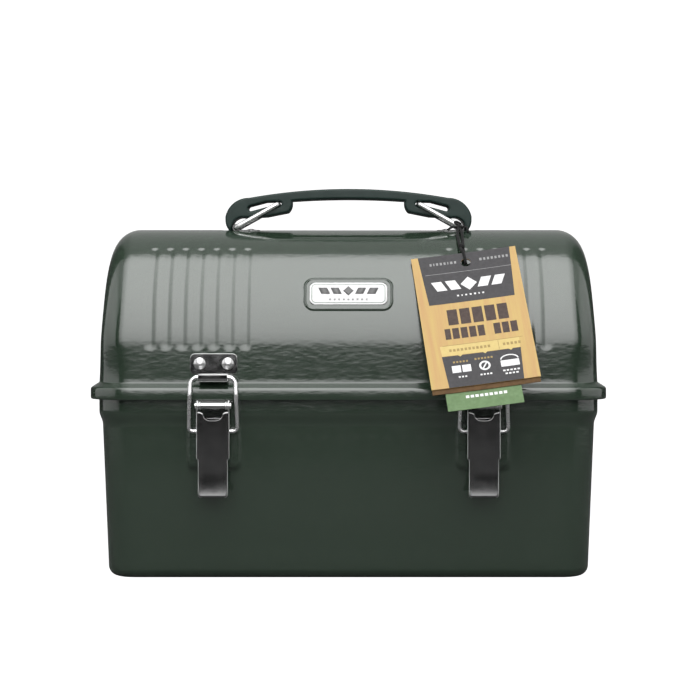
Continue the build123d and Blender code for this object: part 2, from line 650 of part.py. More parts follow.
# The cord's route, point by point: down in front of the card, through its hole and back behind it.
CORD_ROUTE = [(72.6, -17.0, 224.7), (71.4, -26.9, 221.9), (71.2, -37.5, 217.1), (71.9, -47.3, 210.9),
              (73.6, -55.6, 207.9), (74.9, -61.0, 201.6), (74.9, -58.2, 199.5), (74.7, -53.7, 205.2),
              (73.9, -46.1, 211.4), (74.3, -36.8, 217.2), (74.4, -26.8, 221.7), (73.9, -17.0, 224.5)]


def bend_radii(points):
    """For each corner, 0.45 of its shorter run over the tangent of half the turn."""
    radii = []
    for a, b, c in zip(points, points[1:], points[2:]):
        run_in, run_out = Vector(b) - Vector(a), Vector(c) - Vector(b)
        half_turn = radians(run_in.get_angle(run_out)) / 2
        radii.append(0.45 * min(run_in.length, run_out.length) / tan(half_turn))
    return radii


cord_radii = bend_radii(CORD_ROUTE)
print("cord radii in diameters:", [round(r / CORD, 1) for r in cord_radii])
tag_cord = bent_wire(CORD_ROUTE, cord_radii, CORD)
save(tag_cord, "tag_cord")

with BuildPart() as knot_top:
    with Locations((73.3, -16.7, 225.0)):
        Sphere(2.3)
save(knot_top.part, "tag_cord_knot_top")

with BuildPart() as knot_mid:
    with Locations((72.9, -47.2, 211.6)):
        Sphere(2.3)
save(knot_mid.part, "tag_cord_knot_mid")
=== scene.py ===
"""Looks of the domed steel lunch box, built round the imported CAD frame. Lengths in the shape
functions are millimetres in the row frame; place() turns them into Blender's metres."""
from math import atan2, cos, degrees, hypot, pi, radians, sin, sqrt, tan

import bmesh
import bpy
from mathutils import Matrix, Vector


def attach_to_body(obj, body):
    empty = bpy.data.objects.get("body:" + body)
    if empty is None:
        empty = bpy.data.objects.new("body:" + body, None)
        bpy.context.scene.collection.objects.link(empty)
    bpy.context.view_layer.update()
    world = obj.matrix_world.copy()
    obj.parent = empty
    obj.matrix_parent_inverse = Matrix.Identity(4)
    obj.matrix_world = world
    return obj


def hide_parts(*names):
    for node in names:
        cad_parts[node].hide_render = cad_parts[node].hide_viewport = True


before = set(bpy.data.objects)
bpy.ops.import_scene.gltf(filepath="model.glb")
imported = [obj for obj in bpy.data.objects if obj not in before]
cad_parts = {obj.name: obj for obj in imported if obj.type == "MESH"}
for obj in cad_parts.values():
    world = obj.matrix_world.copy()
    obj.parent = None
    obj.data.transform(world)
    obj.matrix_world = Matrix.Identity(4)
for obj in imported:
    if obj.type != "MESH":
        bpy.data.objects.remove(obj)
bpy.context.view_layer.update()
MM = 0.001

# ---- driving dimensions, those of the CAD frame ---------------------------------------------------
SHEET = 0.8
WALL_X, WALL_Y, CORNER = 160.0, 76.0, 22.0
STEP_LOW, STEP_HIGH, STEP_IN, DRAFT = 97.5, 106.0, 2.0, 2.2
FLOOR_RADIUS = 6.5
BODY_TOP = 121.5
LEDGE_Z, ARCH_Z, END_DRAFT, END_FOOT = 125.2, 148.0, 3.5, 122.6
GROOVE_HALF, LID_GROOVE_DEPTH, BODY_GROOVE_DEPTH, PITCH = 3.9, 0.6, 0.22, 10.0
BODY_GROOVE_LOW, BODY_GROOVE_HIGH, PAD_GROOVE_HIGH = 13.5, 92.5, 62.0
LID_GROOVE_X = (65.0, 125.0)
LID_GROOVE_LOW, LID_GROOVE_HIGH = 89.3, 36.4
END_ROUND = 16.0
RECESS_DEPTH = 0.22
LATCH_X = 85.0
PAD_HALF, PAD_LOW, PAD_CORNER = 16.5, 70.6, 4.0


# ---- small helpers --------------------------------------------------------------------------------
def smooth(t):
    """Eases from 0 to 1."""
    t = min(1.0, max(0.0, t))
    return t * t * (3 - 2 * t)


def smooth_line(value, low, high):
    return min(1.0, max(0.0, (value - low) / (high - low)))


def linked(name, data, material=None):
    """A new object of the scene, smooth and in one material where one is given."""
    item = bpy.data.objects.new(name, data)
    bpy.context.scene.collection.objects.link(item)
    if material:
        data.materials.clear()
        data.materials.append(material)
        for polygon in data.polygons:
            polygon.use_smooth = True
    return item


def drawn(name, verts, faces, material):
    """A mesh object from millimetre points."""
    mesh = bpy.data.meshes.new(name)
    mesh.from_pydata([Vector(v) * MM for v in verts], [], faces)
    return linked(name, mesh, material)


def attach(piece, body, replaced):
    """Hangs a piece on its body, and hides the CAD nodes that it stands for."""
    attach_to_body(piece, body)
    if replaced:
        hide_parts(*replaced)
    return piece


def place(name, verts, faces, body, material, slot, replaced=()):
    return attach(drawn(name, verts, faces, material), body, replaced)


def grid_faces(rows, width, closed=False):
    """Faces between rows of points, each row an open or a closed line."""
    faces = []
    for start in range(0, (rows - 1) * width, width):
        for k in range(width if closed else width - 1):
            j = (k + 1) % width
            faces.append((start + k, start + j, start + width + j, start + width + k))
    return faces


def circle(steps, radius=1.0):
    turns = [2 * pi * k / steps for k in range(steps)]
    return [(radius * cos(turn), radius * sin(turn)) for turn in turns]


def mesh_of(item):
    """The mesh that an object's curve or modifiers make."""
    return bpy.data.meshes.new_from_object(item.evaluated_get(bpy.context.evaluated_depsgraph_get()))


def apply_modifiers(piece):
    """Bakes a piece's modifiers into its mesh."""
    mesh = mesh_of(piece)
    piece.modifiers.clear()
    piece.data = mesh
    return piece


def tidy(piece, merge=0.02):
    """Merges doubled points and turns the faces outward."""
    work = bmesh.new()
    work.from_mesh(piece.data)
    bmesh.ops.remove_doubles(work, verts=work.verts, dist=merge * MM)
    bmesh.ops.dissolve_degenerate(work, edges=work.edges, dist=merge * MM * 0.5)
    bmesh.ops.recalc_face_normals(work, faces=work.faces)
    work.to_mesh(piece.data)
    work.free()
    return piece


def thicken(piece, thickness, even=True, ease=0.0):
    """Gives an open sheet its thickness, inward from the drawn face, and rounds its edges where asked."""
    solid = piece.modifiers.new("sheet", "SOLIDIFY")
    solid.thickness = thickness * MM
    solid.offset = -1
    solid.use_even_offset = even
    if ease:
        bevel(piece, ease, 2, 50)
    return apply_modifiers(piece)


def bevel(piece, width, segments, angle):
    modifier = piece.modifiers.new("ease", "BEVEL")
    modifier.width = width * MM
    modifier.segments = segments
    modifier.limit_method = "ANGLE"
    modifier.angle_limit = radians(angle)


def flat_shading(piece):
    """Keeps the flats of a rounded piece flat."""
    weighted = piece.modifiers.new("flats", "WEIGHTED_NORMAL")
    weighted.keep_sharp = True
    return apply_modifiers(piece)


def sharpen(piece, angle=40):
    """Smooth shading that breaks at edges sharper than the angle."""
    piece.data.set_sharp_from_angle(angle=radians(angle))
    return piece


# ---- materials ------------------------------------------------------------------------------------
class Nodes:
    """Short names for building a node material."""

    def __init__(self, name):
        self.material = bpy.data.materials.new(name)
        self.material.use_nodes = True
        self.tree = self.material.node_tree
        self.shader = self.tree.nodes["Principled BSDF"]

    def add(self, kind, **values):
        node = self.tree.nodes.new(kind)
        for key, value in values.items():
            if key in node.inputs:
                node.inputs[key].default_value = value
            else:
                setattr(node, key, value)
        return node

    def link(self, source, target):
        self.tree.links.new(source, target)

    def set(self, **values):
        for key, value in values.items():
            self.shader.inputs[key.replace("_", " ")].default_value = value

    def coordinates(self, stretch=(1, 1, 1)):
        """Object coordinates, in metres, stretched along an axis where asked."""
        source = self.add("ShaderNodeTexCoord").outputs["Object"]
        if stretch == (1, 1, 1):
            return source
        mapping = self.add("ShaderNodeMapping")
        mapping.inputs["Scale"].default_value = stretch
        self.link(source, mapping.inputs["Vector"])
        return mapping.outputs["Vector"]

    def noise(self, scale, detail, roughness=0.5, stretch=(1, 1, 1)):
        node = self.add("ShaderNodeTexNoise", Scale=scale, Detail=detail, Roughness=roughness)
        self.link(self.coordinates(stretch), node.inputs["Vector"])
        return node.outputs["Fac"]

    def ramp(self, source, stops):
        node = self.add("ShaderNodeValToRGB")
        ramp = node.color_ramp
        while len(ramp.elements) < len(stops):
            ramp.elements.new(0.5)
        for element, (position, color) in zip(ramp.elements, stops):
            element.position = position
            element.color = (*color, 1)
        self.link(source, node.inputs["Fac"])
        return node.outputs["Color"]

    def color(self, source, dark, light, spread=0.2):
        stops = [(0.5 - spread, dark), (0.5 + spread, light)]
        self.link(self.ramp(source, stops), self.shader.inputs["Base Color"])

    def math(self, operation, first, second=None):
        """A sum on a socket and, where needed, another socket or a number."""
        node = self.add("ShaderNodeMath", operation=operation)
        self.link(first, node.inputs[0])
        if isinstance(second, (int, float)):
            node.inputs[1].default_value = second
        elif second is not None:
            self.link(second, node.inputs[1])
        return node.outputs[0]

    def roughness(self, source, low, high):
        self.link(self.ramp(source, [(0.3, grey(low)), (0.7, grey(high))]), self.shader.inputs["Roughness"])

    def bump(self, source, strength, distance, before=None, target="Normal"):
        """Adds relief, distance in millimetres, on top of an earlier one."""
        node = self.add("ShaderNodeBump", Strength=strength, Distance=distance * MM)
        self.link(source, node.inputs["Height"])
        if before is not None:
            self.link(before, node.inputs["Normal"])
        self.link(node.outputs["Normal"], self.shader.inputs[target])
        return node.outputs["Normal"]


def grey(value):
    return (value, value, value)


def enamel(name, dark, light):
    """Hammered enamel: soft ripples a few millimetres across under a glossy film."""
    m = Nodes(name)
    m.set(Metallic=0.0, Specular_IOR_Level=0.85, Coat_Weight=0.35, Coat_Roughness=0.10, Coat_IOR=1.5)
    m.color(m.noise(500.0, 3.0, 0.6), dark, light)
    m.roughness(m.noise(90.0, 3.0), 0.13, 0.19)
    ripples = m.noise(300.0, 1.5, 0.5, stretch=(0.62, 1.0, 1.35))
    m.bump(m.noise(620.0, 2.0, 0.5, stretch=(0.7, 1.0, 1.2)), 0.14, 0.05, m.bump(ripples, 0.42, 0.15))
    m.bump(ripples, 0.42, 0.15, target="Coat Normal")
    return m.material


def polished_steel(name, low, high, rough):
    """Bright plated steel with faint waviness and hazy patches."""
    m = Nodes(name)
    m.set(Metallic=1.0)
    m.color(m.noise(120.0, 4.0), grey(low), grey(high))
    m.roughness(m.noise(180.0, 5.0, 0.65), *rough)
    first = m.bump(m.noise(90.0, 2.0), 0.06, 0.04)
    m.bump(m.noise(2600.0, 2.0, 0.5, stretch=(1.0, 1.0, 0.08)), 0.05, 0.015, first)
    return m.material


def satin_steel(name, low=0.40, high=0.52, rough=(0.22, 0.36)):
    """Zinc-bright steel with a fine brushed grain and duller patches."""
    m = Nodes(name)
    m.set(Metallic=1.0)
    m.color(m.noise(260.0, 4.0, 0.6), grey(low), grey(high))
    m.roughness(m.noise(220.0, 5.0, 0.6), *rough)
    m.bump(m.noise(1800.0, 3.0, 0.6, stretch=(0.15, 1.0, 1.0)), 0.16, 0.03)
    return m.material


def moulded_plastic(name, dark, light):
    m = Nodes(name)
    m.set(Specular_IOR_Level=0.25)
    m.color(m.noise(160.0, 3.0), dark, light)
    m.roughness(m.noise(320.0, 3.0), 0.36, 0.48)
    m.bump(m.noise(2600.0, 3.0, 0.6), 0.16, 0.05)
    return m.material


def card_stock(name, dark, light, rough=0.75, grain=(1, 1, 1), scale=300.0, fibre=0.12):
    """Paper board: fibres, a little mottling, and grain along the card where it is stretched."""
    m = Nodes(name)
    m.set(Specular_IOR_Level=0.3)
    m.color(m.noise(scale, 5.0, 0.65, stretch=grain), dark, light, 0.18)
    m.roughness(m.noise(700.0, 3.0), rough - 0.08, rough + 0.06)
    m.bump(m.noise(3200.0, 4.0, 0.7), fibre, 0.04)
    return m.material


def gloss_print(name, dark, light):
    m = Nodes(name)
    m.set(Specular_IOR_Level=0.5)
    m.color(m.noise(500.0, 3.0), dark, light)
    m.roughness(m.noise(400.0, 3.0), 0.4, 0.5)
    m.bump(m.noise(3000.0, 2.0), 0.06, 0.02)
    return m.material


def braided_cord():
    """Black cord: crossing yarns shown by two slanted waves."""
    m = Nodes("black_braid")
    m.set(Specular_IOR_Level=0.2, Sheen_Weight=0.04, Sheen_Roughness=0.5)
    m.color(m.noise(1800.0, 3.0), grey(0.003), grey(0.009))
    m.roughness(m.noise(900.0, 2.0), 0.6, 0.8)
    normal = None
    for turn in (0.8, -0.8):
        mapping = m.add("ShaderNodeMapping")
        mapping.inputs["Rotation"].default_value = (turn, 0.0, turn)
        m.link(m.coordinates(), mapping.inputs["Vector"])
        wave = m.add("ShaderNodeTexWave", Scale=420.0, Distortion=1.5, Detail=1.0)
        m.link(mapping.outputs["Vector"], wave.inputs["Vector"])
        normal = m.bump(wave.outputs["Fac"], 0.6, 0.15, normal)
    return m.material


GREEN = enamel("green_hammertone", (0.016, 0.028, 0.018), (0.021, 0.035, 0.023))
CHROME = polished_steel("bright_wire", 0.72, 0.82, (0.24, 0.32))
PLATED = polished_steel("plated_sheet", 0.50, 0.60, (0.05, 0.11))
LEVER_STEEL = polished_steel("lever_sheet", 0.25, 0.32, (0.09, 0.13))
# painted highlight: a far brighter, rougher steel laid only on the lever's rounded side bends, so they show
# as light lines
BEND_HIGHLIGHT_STEEL = satin_steel("painted_bend_highlight", 0.78, 0.88, (0.38, 0.46))
STEEL = satin_steel("satin_steel")
RIVET = satin_steel("rivet_steel", 0.62, 0.74, (0.28, 0.36))
DARK_STEEL = satin_steel("dark_bracket_steel", 0.10, 0.16, (0.28, 0.40))
GRIP = moulded_plastic("green_grip_plastic", (0.008, 0.019, 0.016), (0.012, 0.025, 0.021))
BADGE_WHITE = gloss_print("badge_white", grey(0.56), grey(0.62))
BADGE_LINE = gloss_print("badge_line", (0.10, 0.13, 0.11), (0.13, 0.17, 0.14))
BADGE_MARK = gloss_print("badge_mark", grey(0.085), grey(0.105))
BADGE_PALE = gloss_print("badge_pale_mark", grey(0.28), grey(0.34))
KRAFT = card_stock("kraft_board", (0.40, 0.245, 0.112), (0.44, 0.325, 0.120), grain=(6.0, 0.3, 1), scale=42.0)
KRAFT_LIGHT = card_stock("kraft_light_print", (0.47, 0.36, 0.14), (0.52, 0.41, 0.17))
# painted shadow: the back leaf's kraft is a near-black brown that stands for the shade the front leaf casts
# on it
KRAFT_BACK_SHADOW = card_stock("kraft_back_leaf_painted_shadow", (0.06, 0.031, 0.010), (0.10, 0.052, 0.016))
INK_GREY = card_stock("grey_print", (0.031, 0.030, 0.032), (0.043, 0.041, 0.044), 0.6, fibre=0.06)
INK_DARK = card_stock("brown_print", (0.035, 0.021, 0.017), (0.058, 0.038, 0.031), 0.6, fibre=0.06)
INK_WHITE = card_stock("white_print", grey(0.58), grey(0.68), 0.6, fibre=0.06)
INK_PALE = card_stock("pale_print", grey(0.20), grey(0.27), 0.6, fibre=0.06)
INK_TAN = card_stock("tan_print", (0.24, 0.17, 0.06), (0.30, 0.215, 0.08), 0.6, fibre=0.06)
GREEN_CARD = card_stock("green_card", (0.095, 0.155, 0.07), (0.13, 0.205, 0.10))
BRAID = braided_cord()


# ---- pressed details of the two shells --------------------------------------------------------------
def groove(across, beyond, depth):
    """Depth of a groove at a distance across its line, and past its end."""
    q = hypot(across, max(0.0, beyond))
    return depth * 0.5 * (1 + cos(pi * q / GROOVE_HALF)) if q < GROOVE_HALF else 0.0


def nearest_line(x, first):
    """Distance to the nearest groove line, on a 10 mm pitch counted from the first."""
    k = round((abs(x) - first) / PITCH)
    return abs(abs(x) - first - PITCH * k), first + PITCH * k


def groove_columns(first, last, low, high, step):
    """X positions from low to high, finer across each groove line from first to last."""
    marks = {low, high}
    x = low
    while x < high:
        marks.add(round(x, 3))
        x += step
    line = first
    while line <= last + 0.1:
        for k in range(-3, 4):
            marks.add(round(line + k * GROOVE_HALF / 3, 3))
        marks.add(round(line + PITCH / 2, 3))
        line += PITCH
    kept = []
    for mark in sorted(m for m in marks if low <= m <= high):
        if not kept or mark - kept[-1] > 0.45:
            kept.append(mark)
    kept[-1] = high
    return kept


def rounded_box(dx, dz, half_x, half_z, corner):
    """Signed distance to a rounded rectangle, negative inside."""
    qx, qz = abs(dx) - half_x + corner, abs(dz) - half_z + corner
    return hypot(max(qx, 0), max(qz, 0)) + min(max(qx, qz), 0) - corner


# ---- the body ---------------------------------------------------------------------------------------
def body_wall_out(z):
    """How far the plain wall stands in from the collar, negative inward."""
    if z >= STEP_HIGH:
        return 0.0
    step = -STEP_IN * smooth((STEP_HIGH - z) / (STEP_HIGH - STEP_LOW))
    return step - max(0.0, STEP_LOW - z) * tan(radians(DRAFT))


def body_press(x, z):
    """How far the pressed pads and grooves move the front or rear wall outward."""
    out = body_wall_out(z)
    pad_z = (PAD_LOW + 140) / 2
    pad = rounded_box(abs(x) - LATCH_X, z - pad_z, PAD_HALF, pad_z - PAD_LOW, PAD_CORNER)
    mask = smooth(0.5 - pad / 3.2)
    moved = -out * mask
    across, line = nearest_line(x, PITCH / 2)
    if line < 130:
        under = abs(line - LATCH_X) < 25
        high = (PAD_GROOVE_HIGH if under else BODY_GROOVE_HIGH) - GROOVE_HALF
        low = BODY_GROOVE_LOW + GROOVE_HALF
        moved -= groove(across, max(z - high, low - z), BODY_GROOVE_DEPTH)
    return moved


def body_rows():
    """(outward offset, height) down the body's section, from its mouth to the floor."""
    rows = [(0.0, BODY_TOP), (1.6, 121.45), (2.5, 121.0), (3.05, 120.2), (3.2, 119.3), (3.1, 118.4),
            (2.6, 117.8), (1.5, 117.4), (0.5, 117.3), (0.06, 117.0)]
    rows += [(0.0, z) for z in (116.5, 114.0, 110.0, 107.5)]
    z = STEP_HIGH + 0.4
    while z > FLOOR_RADIUS + 0.6:
        rows.append((None, z))
        z -= 1.7
    slope = radians(DRAFT)
    wall = body_wall_out(FLOOR_RADIUS)
    for k in range(9):
        turn = (pi / 2 - slope) * k / 8 + slope
        rows.append((wall - FLOOR_RADIUS * (cos(slope) - cos(turn)), FLOOR_RADIUS * (1 - sin(turn))))
    return rows


def make_body():
    core_x, core_y = WALL_X - CORNER, WALL_Y - CORNER
    xs = groove_columns(5.0, 125.0, 0.0, 130.0, 5.0)
    xs = [-x for x in reversed(xs) if x > 0] + xs
    ys = [-1 + k / 6 for k in range(1, 12)]
    turns = [k / 12 * pi / 2 for k in range(13)]
    columns = [("front", x) for x in xs]
    columns += [("corner", 1, -1, a) for a in turns]
    columns += [("side", 1, y) for y in ys]
    columns += [("corner", 1, 1, pi / 2 - a) for a in turns]
    columns += [("rear", x) for x in reversed(xs)]
    columns += [("corner", -1, 1, a) for a in turns]
    columns += [("side", -1, y) for y in reversed(ys)]
    columns += [("corner", -1, -1, pi / 2 - a) for a in turns]
    verts = []
    rows = body_rows()
    for out, z in rows:
        lower = smooth((STEP_HIGH - z) / (STEP_HIGH - STEP_LOW))
        cx, cy = core_x - STEP_IN * lower, core_y - STEP_IN * lower
        plain = body_wall_out(z) if out is None else out
        rho = CORNER + plain + STEP_IN * lower
        for column in columns:
            kind = column[0]
            if kind in ("front", "rear"):
                side = -1 if kind == "front" else 1
                moved = body_press(column[1], z) if out is None else 0.0
                verts.append((column[1], side * (cy + rho + moved), z))
            elif kind == "side":
                verts.append((column[1] * (cx + rho), column[2] * cy, z))
            else:
                sx, sy, a = column[1], column[2], column[3]
                verts.append((sx * (cx + rho * sin(a)), sy * (cy + rho * cos(a)), z))
    n = len(columns)
    faces = grid_faces(len(rows), n, closed=True)
    base = (len(rows) - 1) * n
    rear = len(xs) + len(ys) + 2 * len(turns)
    for k in range(len(xs) - 1):
        front_a, front_b = base + k, base + k + 1
        rear_a, rear_b = base + rear + len(xs) - 1 - k, base + rear + len(xs) - 2 - k
        faces.append((front_a, front_b, rear_b, rear_a))
    for start, stop in ((len(xs) - 1, rear), (rear + len(xs) - 1, n)):
        faces.append(tuple(base + k % n for k in range(start, stop + 1)))
    body = place("body_shell_pressed", verts, faces, "box", GREEN, "enamel", ["body_shell"])
    return sharpen(thicken(tidy(body), SHEET), 50)


# ---- the lid ----------------------------------------------------------------------------------------
ARCH_LENGTH = 2 * (ARCH_Z - LEDGE_Z) + pi * WALL_Y
LIP_PROFILE = [(0.0, LEDGE_Z), (0.03, 124.95), (0.16, 124.72), (0.45, 124.5), (2.6, 123.15), (4.3, 122.07),
               (4.69, 121.83), (4.96, 121.6), (5.23, 121.3), (5.42, 120.97), (5.55, 120.55), (5.6, 120.1),
               (5.6, 117.5), (5.6, 115.2), (5.5, 114.45), (5.15, 114.1)]


def arch(t):
    """A point (y, z) of the lid's outline and its outward normal, t along it from the front ledge."""
    wall = ARCH_Z - LEDGE_Z
    if t < wall:
        return -WALL_Y, LEDGE_Z + t, -1.0, 0.0
    if t > ARCH_LENGTH - wall:
        return WALL_Y, LEDGE_Z + ARCH_LENGTH - t, 1.0, 0.0
    a = (t - wall) / WALL_Y
    return -WALL_Y * cos(a), ARCH_Z + WALL_Y * sin(a), -cos(a), sin(a)


def lid_end(z):
    return WALL_X - (z - END_FOOT) * tan(radians(END_DRAFT)) + 0.8 * smooth((z - 165) / 40)


def lid_press(x, t):
    """How far the grooves and the top panel move the dome inward, as a negative offset."""
    t = min(t, ARCH_LENGTH - t)
    from_top = ARCH_LENGTH / 2 - t
    moved = 0.0
    across, line = nearest_line(x, LID_GROOVE_X[0])
    if LID_GROOVE_X[0] - 1 < line < LID_GROOVE_X[1] + 1:
        low, high = radians(LID_GROOVE_LOW) * WALL_Y, radians(LID_GROOVE_HIGH) * WALL_Y
        moved -= groove(across, max(from_top - low, high - from_top), LID_GROOVE_DEPTH)
    plan = min(WALL_Y * sin(from_top / WALL_Y), WALL_Y) if from_top < 100 else WALL_Y
    ax = abs(x)
    half = 31 - 16 * smooth_line(ax, 49, 73) - 2 * smooth_line(ax, 73, 85)
    slant = 0.83 if 49 < ax < 73 else 1.0
    edge = min((half - plan) * slant, 85 - ax)
    bead = (edge + 0.7) / 1.5
    moved += 0.13 * 0.5 * (1 + cos(pi * bead)) if abs(bead) < 1 and from_top > 9 else 0.0
    return moved - RECESS_DEPTH * smooth(edge / 2.2)


def lid_rows():
    """Positions along the arch, closer together where a pressed edge crosses it."""
    half = []
    for low, high, step in ((0, 11, 2.75), (11, 34, 0.62), (34, 42, 1.6), (42, 53, 0.9), (53, 110, 3.0),
                            (110, 125, 1.0), (125, ARCH_LENGTH / 2, 3.0)):
        count = max(1, round((high - low) / step))
        half += [low + (high - low) * k / count for k in range(count)]
    half.append(ARCH_LENGTH / 2)
    return [ARCH_LENGTH / 2 - f for f in reversed(half)] + [ARCH_LENGTH / 2 + f for f in half[1:]]


def lid_columns():
    """Positions along the box over the lid's straight part, half of them."""
    marks = [0, 8, 16, 24, 32, 40, 45]
    marks += [45 + 1.9 * k for k in range(1, 9)]
    return marks + groove_columns(LID_GROOVE_X[0], LID_GROOVE_X[1], 61.5, 131.0, 20.0)


def make_lid():
    half = lid_columns()
    mains = [-x for x in reversed(half) if x > 0] + half
    turns = [radians(90) * k / 10 for k in range(1, 11)]
    ts = lid_rows()
    count = len(ts) - 1
    verts = []
    for t in ts:
        y, z, ny, nz = arch(t)
        corner = CORNER + (END_ROUND - CORNER) * smooth((z - 126) / 30)
        depths = [corner * (1 - cos(a)) for a in turns]
        depths += [corner + (WALL_Y - corner) * (k / 7) for k in range(1, 8)]
        row = []
        for end in (-1, 1):
            part = []
            for w in depths:
                py, pz = y - w * ny, z - w * nz
                if w >= WALL_Y - 0.01:
                    py, pz = 0.0, min(max(pz, LEDGE_Z), ARCH_Z)
                along = -corner + corner * sqrt(max(0.0, 1 - (1 - min(w, corner) / corner) ** 2))
                part.append((end * (lid_end(pz) + along), py, pz))
            row.append(part)
        moves = [(x, lid_press(x, t)) for x in mains]
        middle = [(x, y + moved * ny, z + moved * nz) for x, moved in moves]
        start = lid_end(z) - corner
        verts += list(reversed(row[0])) + [(-start, y, z)] + middle + [(start, y, z)] + row[1]
    width = len(verts) // len(ts)
    faces = grid_faces(len(ts), width)
    # the ledge and the skirt run round the open edge of the arch
    loop = list(range(width)) + [count * width + k for k in reversed(range(width))]
    normals = []
    for index in loop:
        x, y, z = verts[index]
        dx, dy = abs(x) - (lid_end(z) - CORNER), abs(y) - (WALL_Y - CORNER)
        nx, ny = max(dx, 0.0), max(dy, 0.0)
        size = hypot(nx, ny) or 1.0
        normals.append(((nx / size) * (1 if x > 0 else -1), (ny / size) * (1 if y > 0 else -1)))
    previous = loop
    for out, z in LIP_PROFILE[1:]:
        ring = []
        for index, (nx, ny) in zip(loop, normals):
            x, y, _ = verts[index]
            ring.append(len(verts))
            verts.append((x + nx * out, y + ny * out, z))
        m = len(loop)
        for k in range(m):
            j = (k + 1) % m
            faces.append((previous[j], previous[k], ring[k], ring[j]))
        previous = ring
    lid = place("lid_shell_pressed", verts, faces, "lid", GREEN, "enamel", ["lid_shell"])
    return sharpen(thicken(tidy(lid), SHEET), 50)


# ---- stamped plates, ribbons and rivets -------------------------------------------------------------
RING_STEPS = 6


def ring(half_a, half_b, corner):
    """Points (a, b) round a rounded rectangle, counterclockwise."""
    points = []
    for ca, cb, start in ((1, 1, 0), (-1, 1, 1), (-1, -1, 2), (1, -1, 3)):
        for k in range(RING_STEPS + 1):
            turn = (start + k / RING_STEPS) * pi / 2
            a, b = corner * cos(turn), corner * sin(turn)
            points.append((ca * (half_a - corner) + a, cb * (half_b - corner) + b))
    return points


def ring_stack(point, half, corner, levels, cap=True, cap_low=True):
    """A rounded-rectangle form from (inset, height) levels; point turns (a, b, height) into a place."""
    verts = []
    for inset, height in levels:
        outline = ring(half[0] - inset, half[1] - inset, max(corner - inset, 0.15))
        verts += [point(a, b, height) for a, b in outline]
    n = len(verts) // len(levels)
    faces = grid_faces(len(levels), n, closed=True)
    if cap:
        faces.append(tuple((len(levels) - 1) * n + k for k in range(n)))
    if cap_low:
        faces.append(tuple(reversed(range(n))))
    return verts, faces


def eased_levels(base, top, ease):
    """Levels of a plate whose upper edge is a quarter round."""
    levels = [(0.0, base), (0.0, top - ease)]
    for k in range(1, 6):
        turn = k / 5 * pi / 2
        levels.append((ease * (1 - cos(turn)), top - ease + ease * sin(turn)))
    return levels + [(ease + 0.12, top)]


def ribbon(path, thickness):
    """The closed outline of a strip of this thickness along a path of (u, z) points."""
    left, right = [], []
    for k, (u, z) in enumerate(path):
        a, b = path[max(k - 1, 0)], path[min(k + 1, len(path) - 1)]
        du, dz = b[0] - a[0], b[1] - a[1]
        size = hypot(du, dz)
        nu, nz = -dz / size * thickness / 2, du / size * thickness / 2
        left.append((u + nu, z + nz))
        right.append((u - nu, z - nz))
    return left + right[::-1]


def extruded(outline, point, low, high):
    """A closed outline of (u, z) points carried from low to high across the box."""
    verts = [point(low, u, z) for u, z in outline] + [point(high, u, z) for u, z in outline]
    n = len(outline)
    faces = [(k, (k + 1) % n, n + (k + 1) % n, n + k) for k in range(n)]
    return verts, faces + [tuple(reversed(range(n))), tuple(range(n, 2 * n))]


def arc(center, radius, start, stop, steps):
    """Points of an arc in the (u, z) plane, angles in degrees."""
    return [(center[0] + radius * cos(radians(start + (stop - start) * k / steps)),
             center[1] + radius * sin(radians(start + (stop - start) * k / steps))) for k in range(steps + 1)]


def joined(parts):
    """Several (verts, faces) lists as one."""
    verts, faces = [], []
    for part_verts, part_faces in parts:
        first = len(verts)
        verts += part_verts
        faces += [tuple(first + k for k in face) for face in part_faces]
    return verts, faces


def eased(piece, width):
    """Rounds a piece's sharp edges and keeps its flats flat."""
    bevel(piece, width, 3, 35)
    return flat_shading(piece)


def stamped(name, parts, body, material, slot, replaced=(), width=0.2):
    """A solid piece of several closed forms, with its sharp edges rounded."""
    return eased(tidy(place(name, *joined(parts), body, material, slot, replaced), 0.005), width)


def wall_point(x, z, side):
    """A point function on the front (-1) or rear (1) wall: a to the right as seen from outside."""
    return lambda a, b, out: (x - side * a, side * (WALL_Y + out), z + b)


def section_point(x, side):
    """A point function across the box: a along X, u out from the wall, z the height."""
    return lambda a, u, z: (x + a, side * (WALL_Y + u), z)


def dome_rivets(name, places, body, radius, height, base, replaced):
    """Rivets with round heads; places are point functions."""
    rings, around = 7, 28
    parts = []
    sphere = (radius ** 2 + height ** 2) / (2 * height)
    reach = atan2(radius, sphere - height)
    for point in places:
        verts = [point(a, b, base - 0.25) for a, b in circle(around, radius)]
        for r in range(rings):
            tilt = reach * (1 - r / rings)
            out = sphere * cos(tilt) - (sphere - height)
            verts += [point(a, b, base + 0.12 + out * 0.96) for a, b in circle(around, sphere * sin(tilt))]
        top = len(verts)
        verts.append(point(0, 0, base + 0.12 + height * 0.96))
        faces = grid_faces(rings + 1, around, closed=True)
        faces += [(rings * around + k, rings * around + (k + 1) % around, top) for k in range(around)]
        faces.append(tuple(reversed(range(around))))
        parts.append((verts, faces))
    piece = place(name, *joined(parts), body, RIVET, "rivet_steel", replaced)
    return sharpen(tidy(piece), 50)


# ---- latches ----------------------------------------------------------------------------------------
PIVOT = (7.0, 110.8)
LEVER_HALF, LEVER_OUT, FACE_TOP, TIP_Z, FLANGE_END = 10.45, 10.0, 107.0, 53.2, 77.6
TAIL_HALF, TAIL_CORNER, HEM = 9.4, 2.0, 0.9
EAR_RADIUS = 3.1


def flange_back(z):
    """How far out the back edge of the lever's flange is at a height."""
    if z > PIVOT[1]:
        return PIVOT[0] - sqrt(max(0.0, EAR_RADIUS ** 2 - (z - PIVOT[1]) ** 2))
    marks = [(110.8, 3.9), (100.0, 3.15), (94.7, 3.0), (91.0, 3.35), (81.0, 5.6), (79.0, 6.4),
             (FLANGE_END, 8.6)]
    for (z1, u1), (z0, u0) in zip(marks, marks[1:]):
        if z >= z0:
            return u0 + (u1 - u0) * (z - z0) / (z1 - z0)
    return 8.6


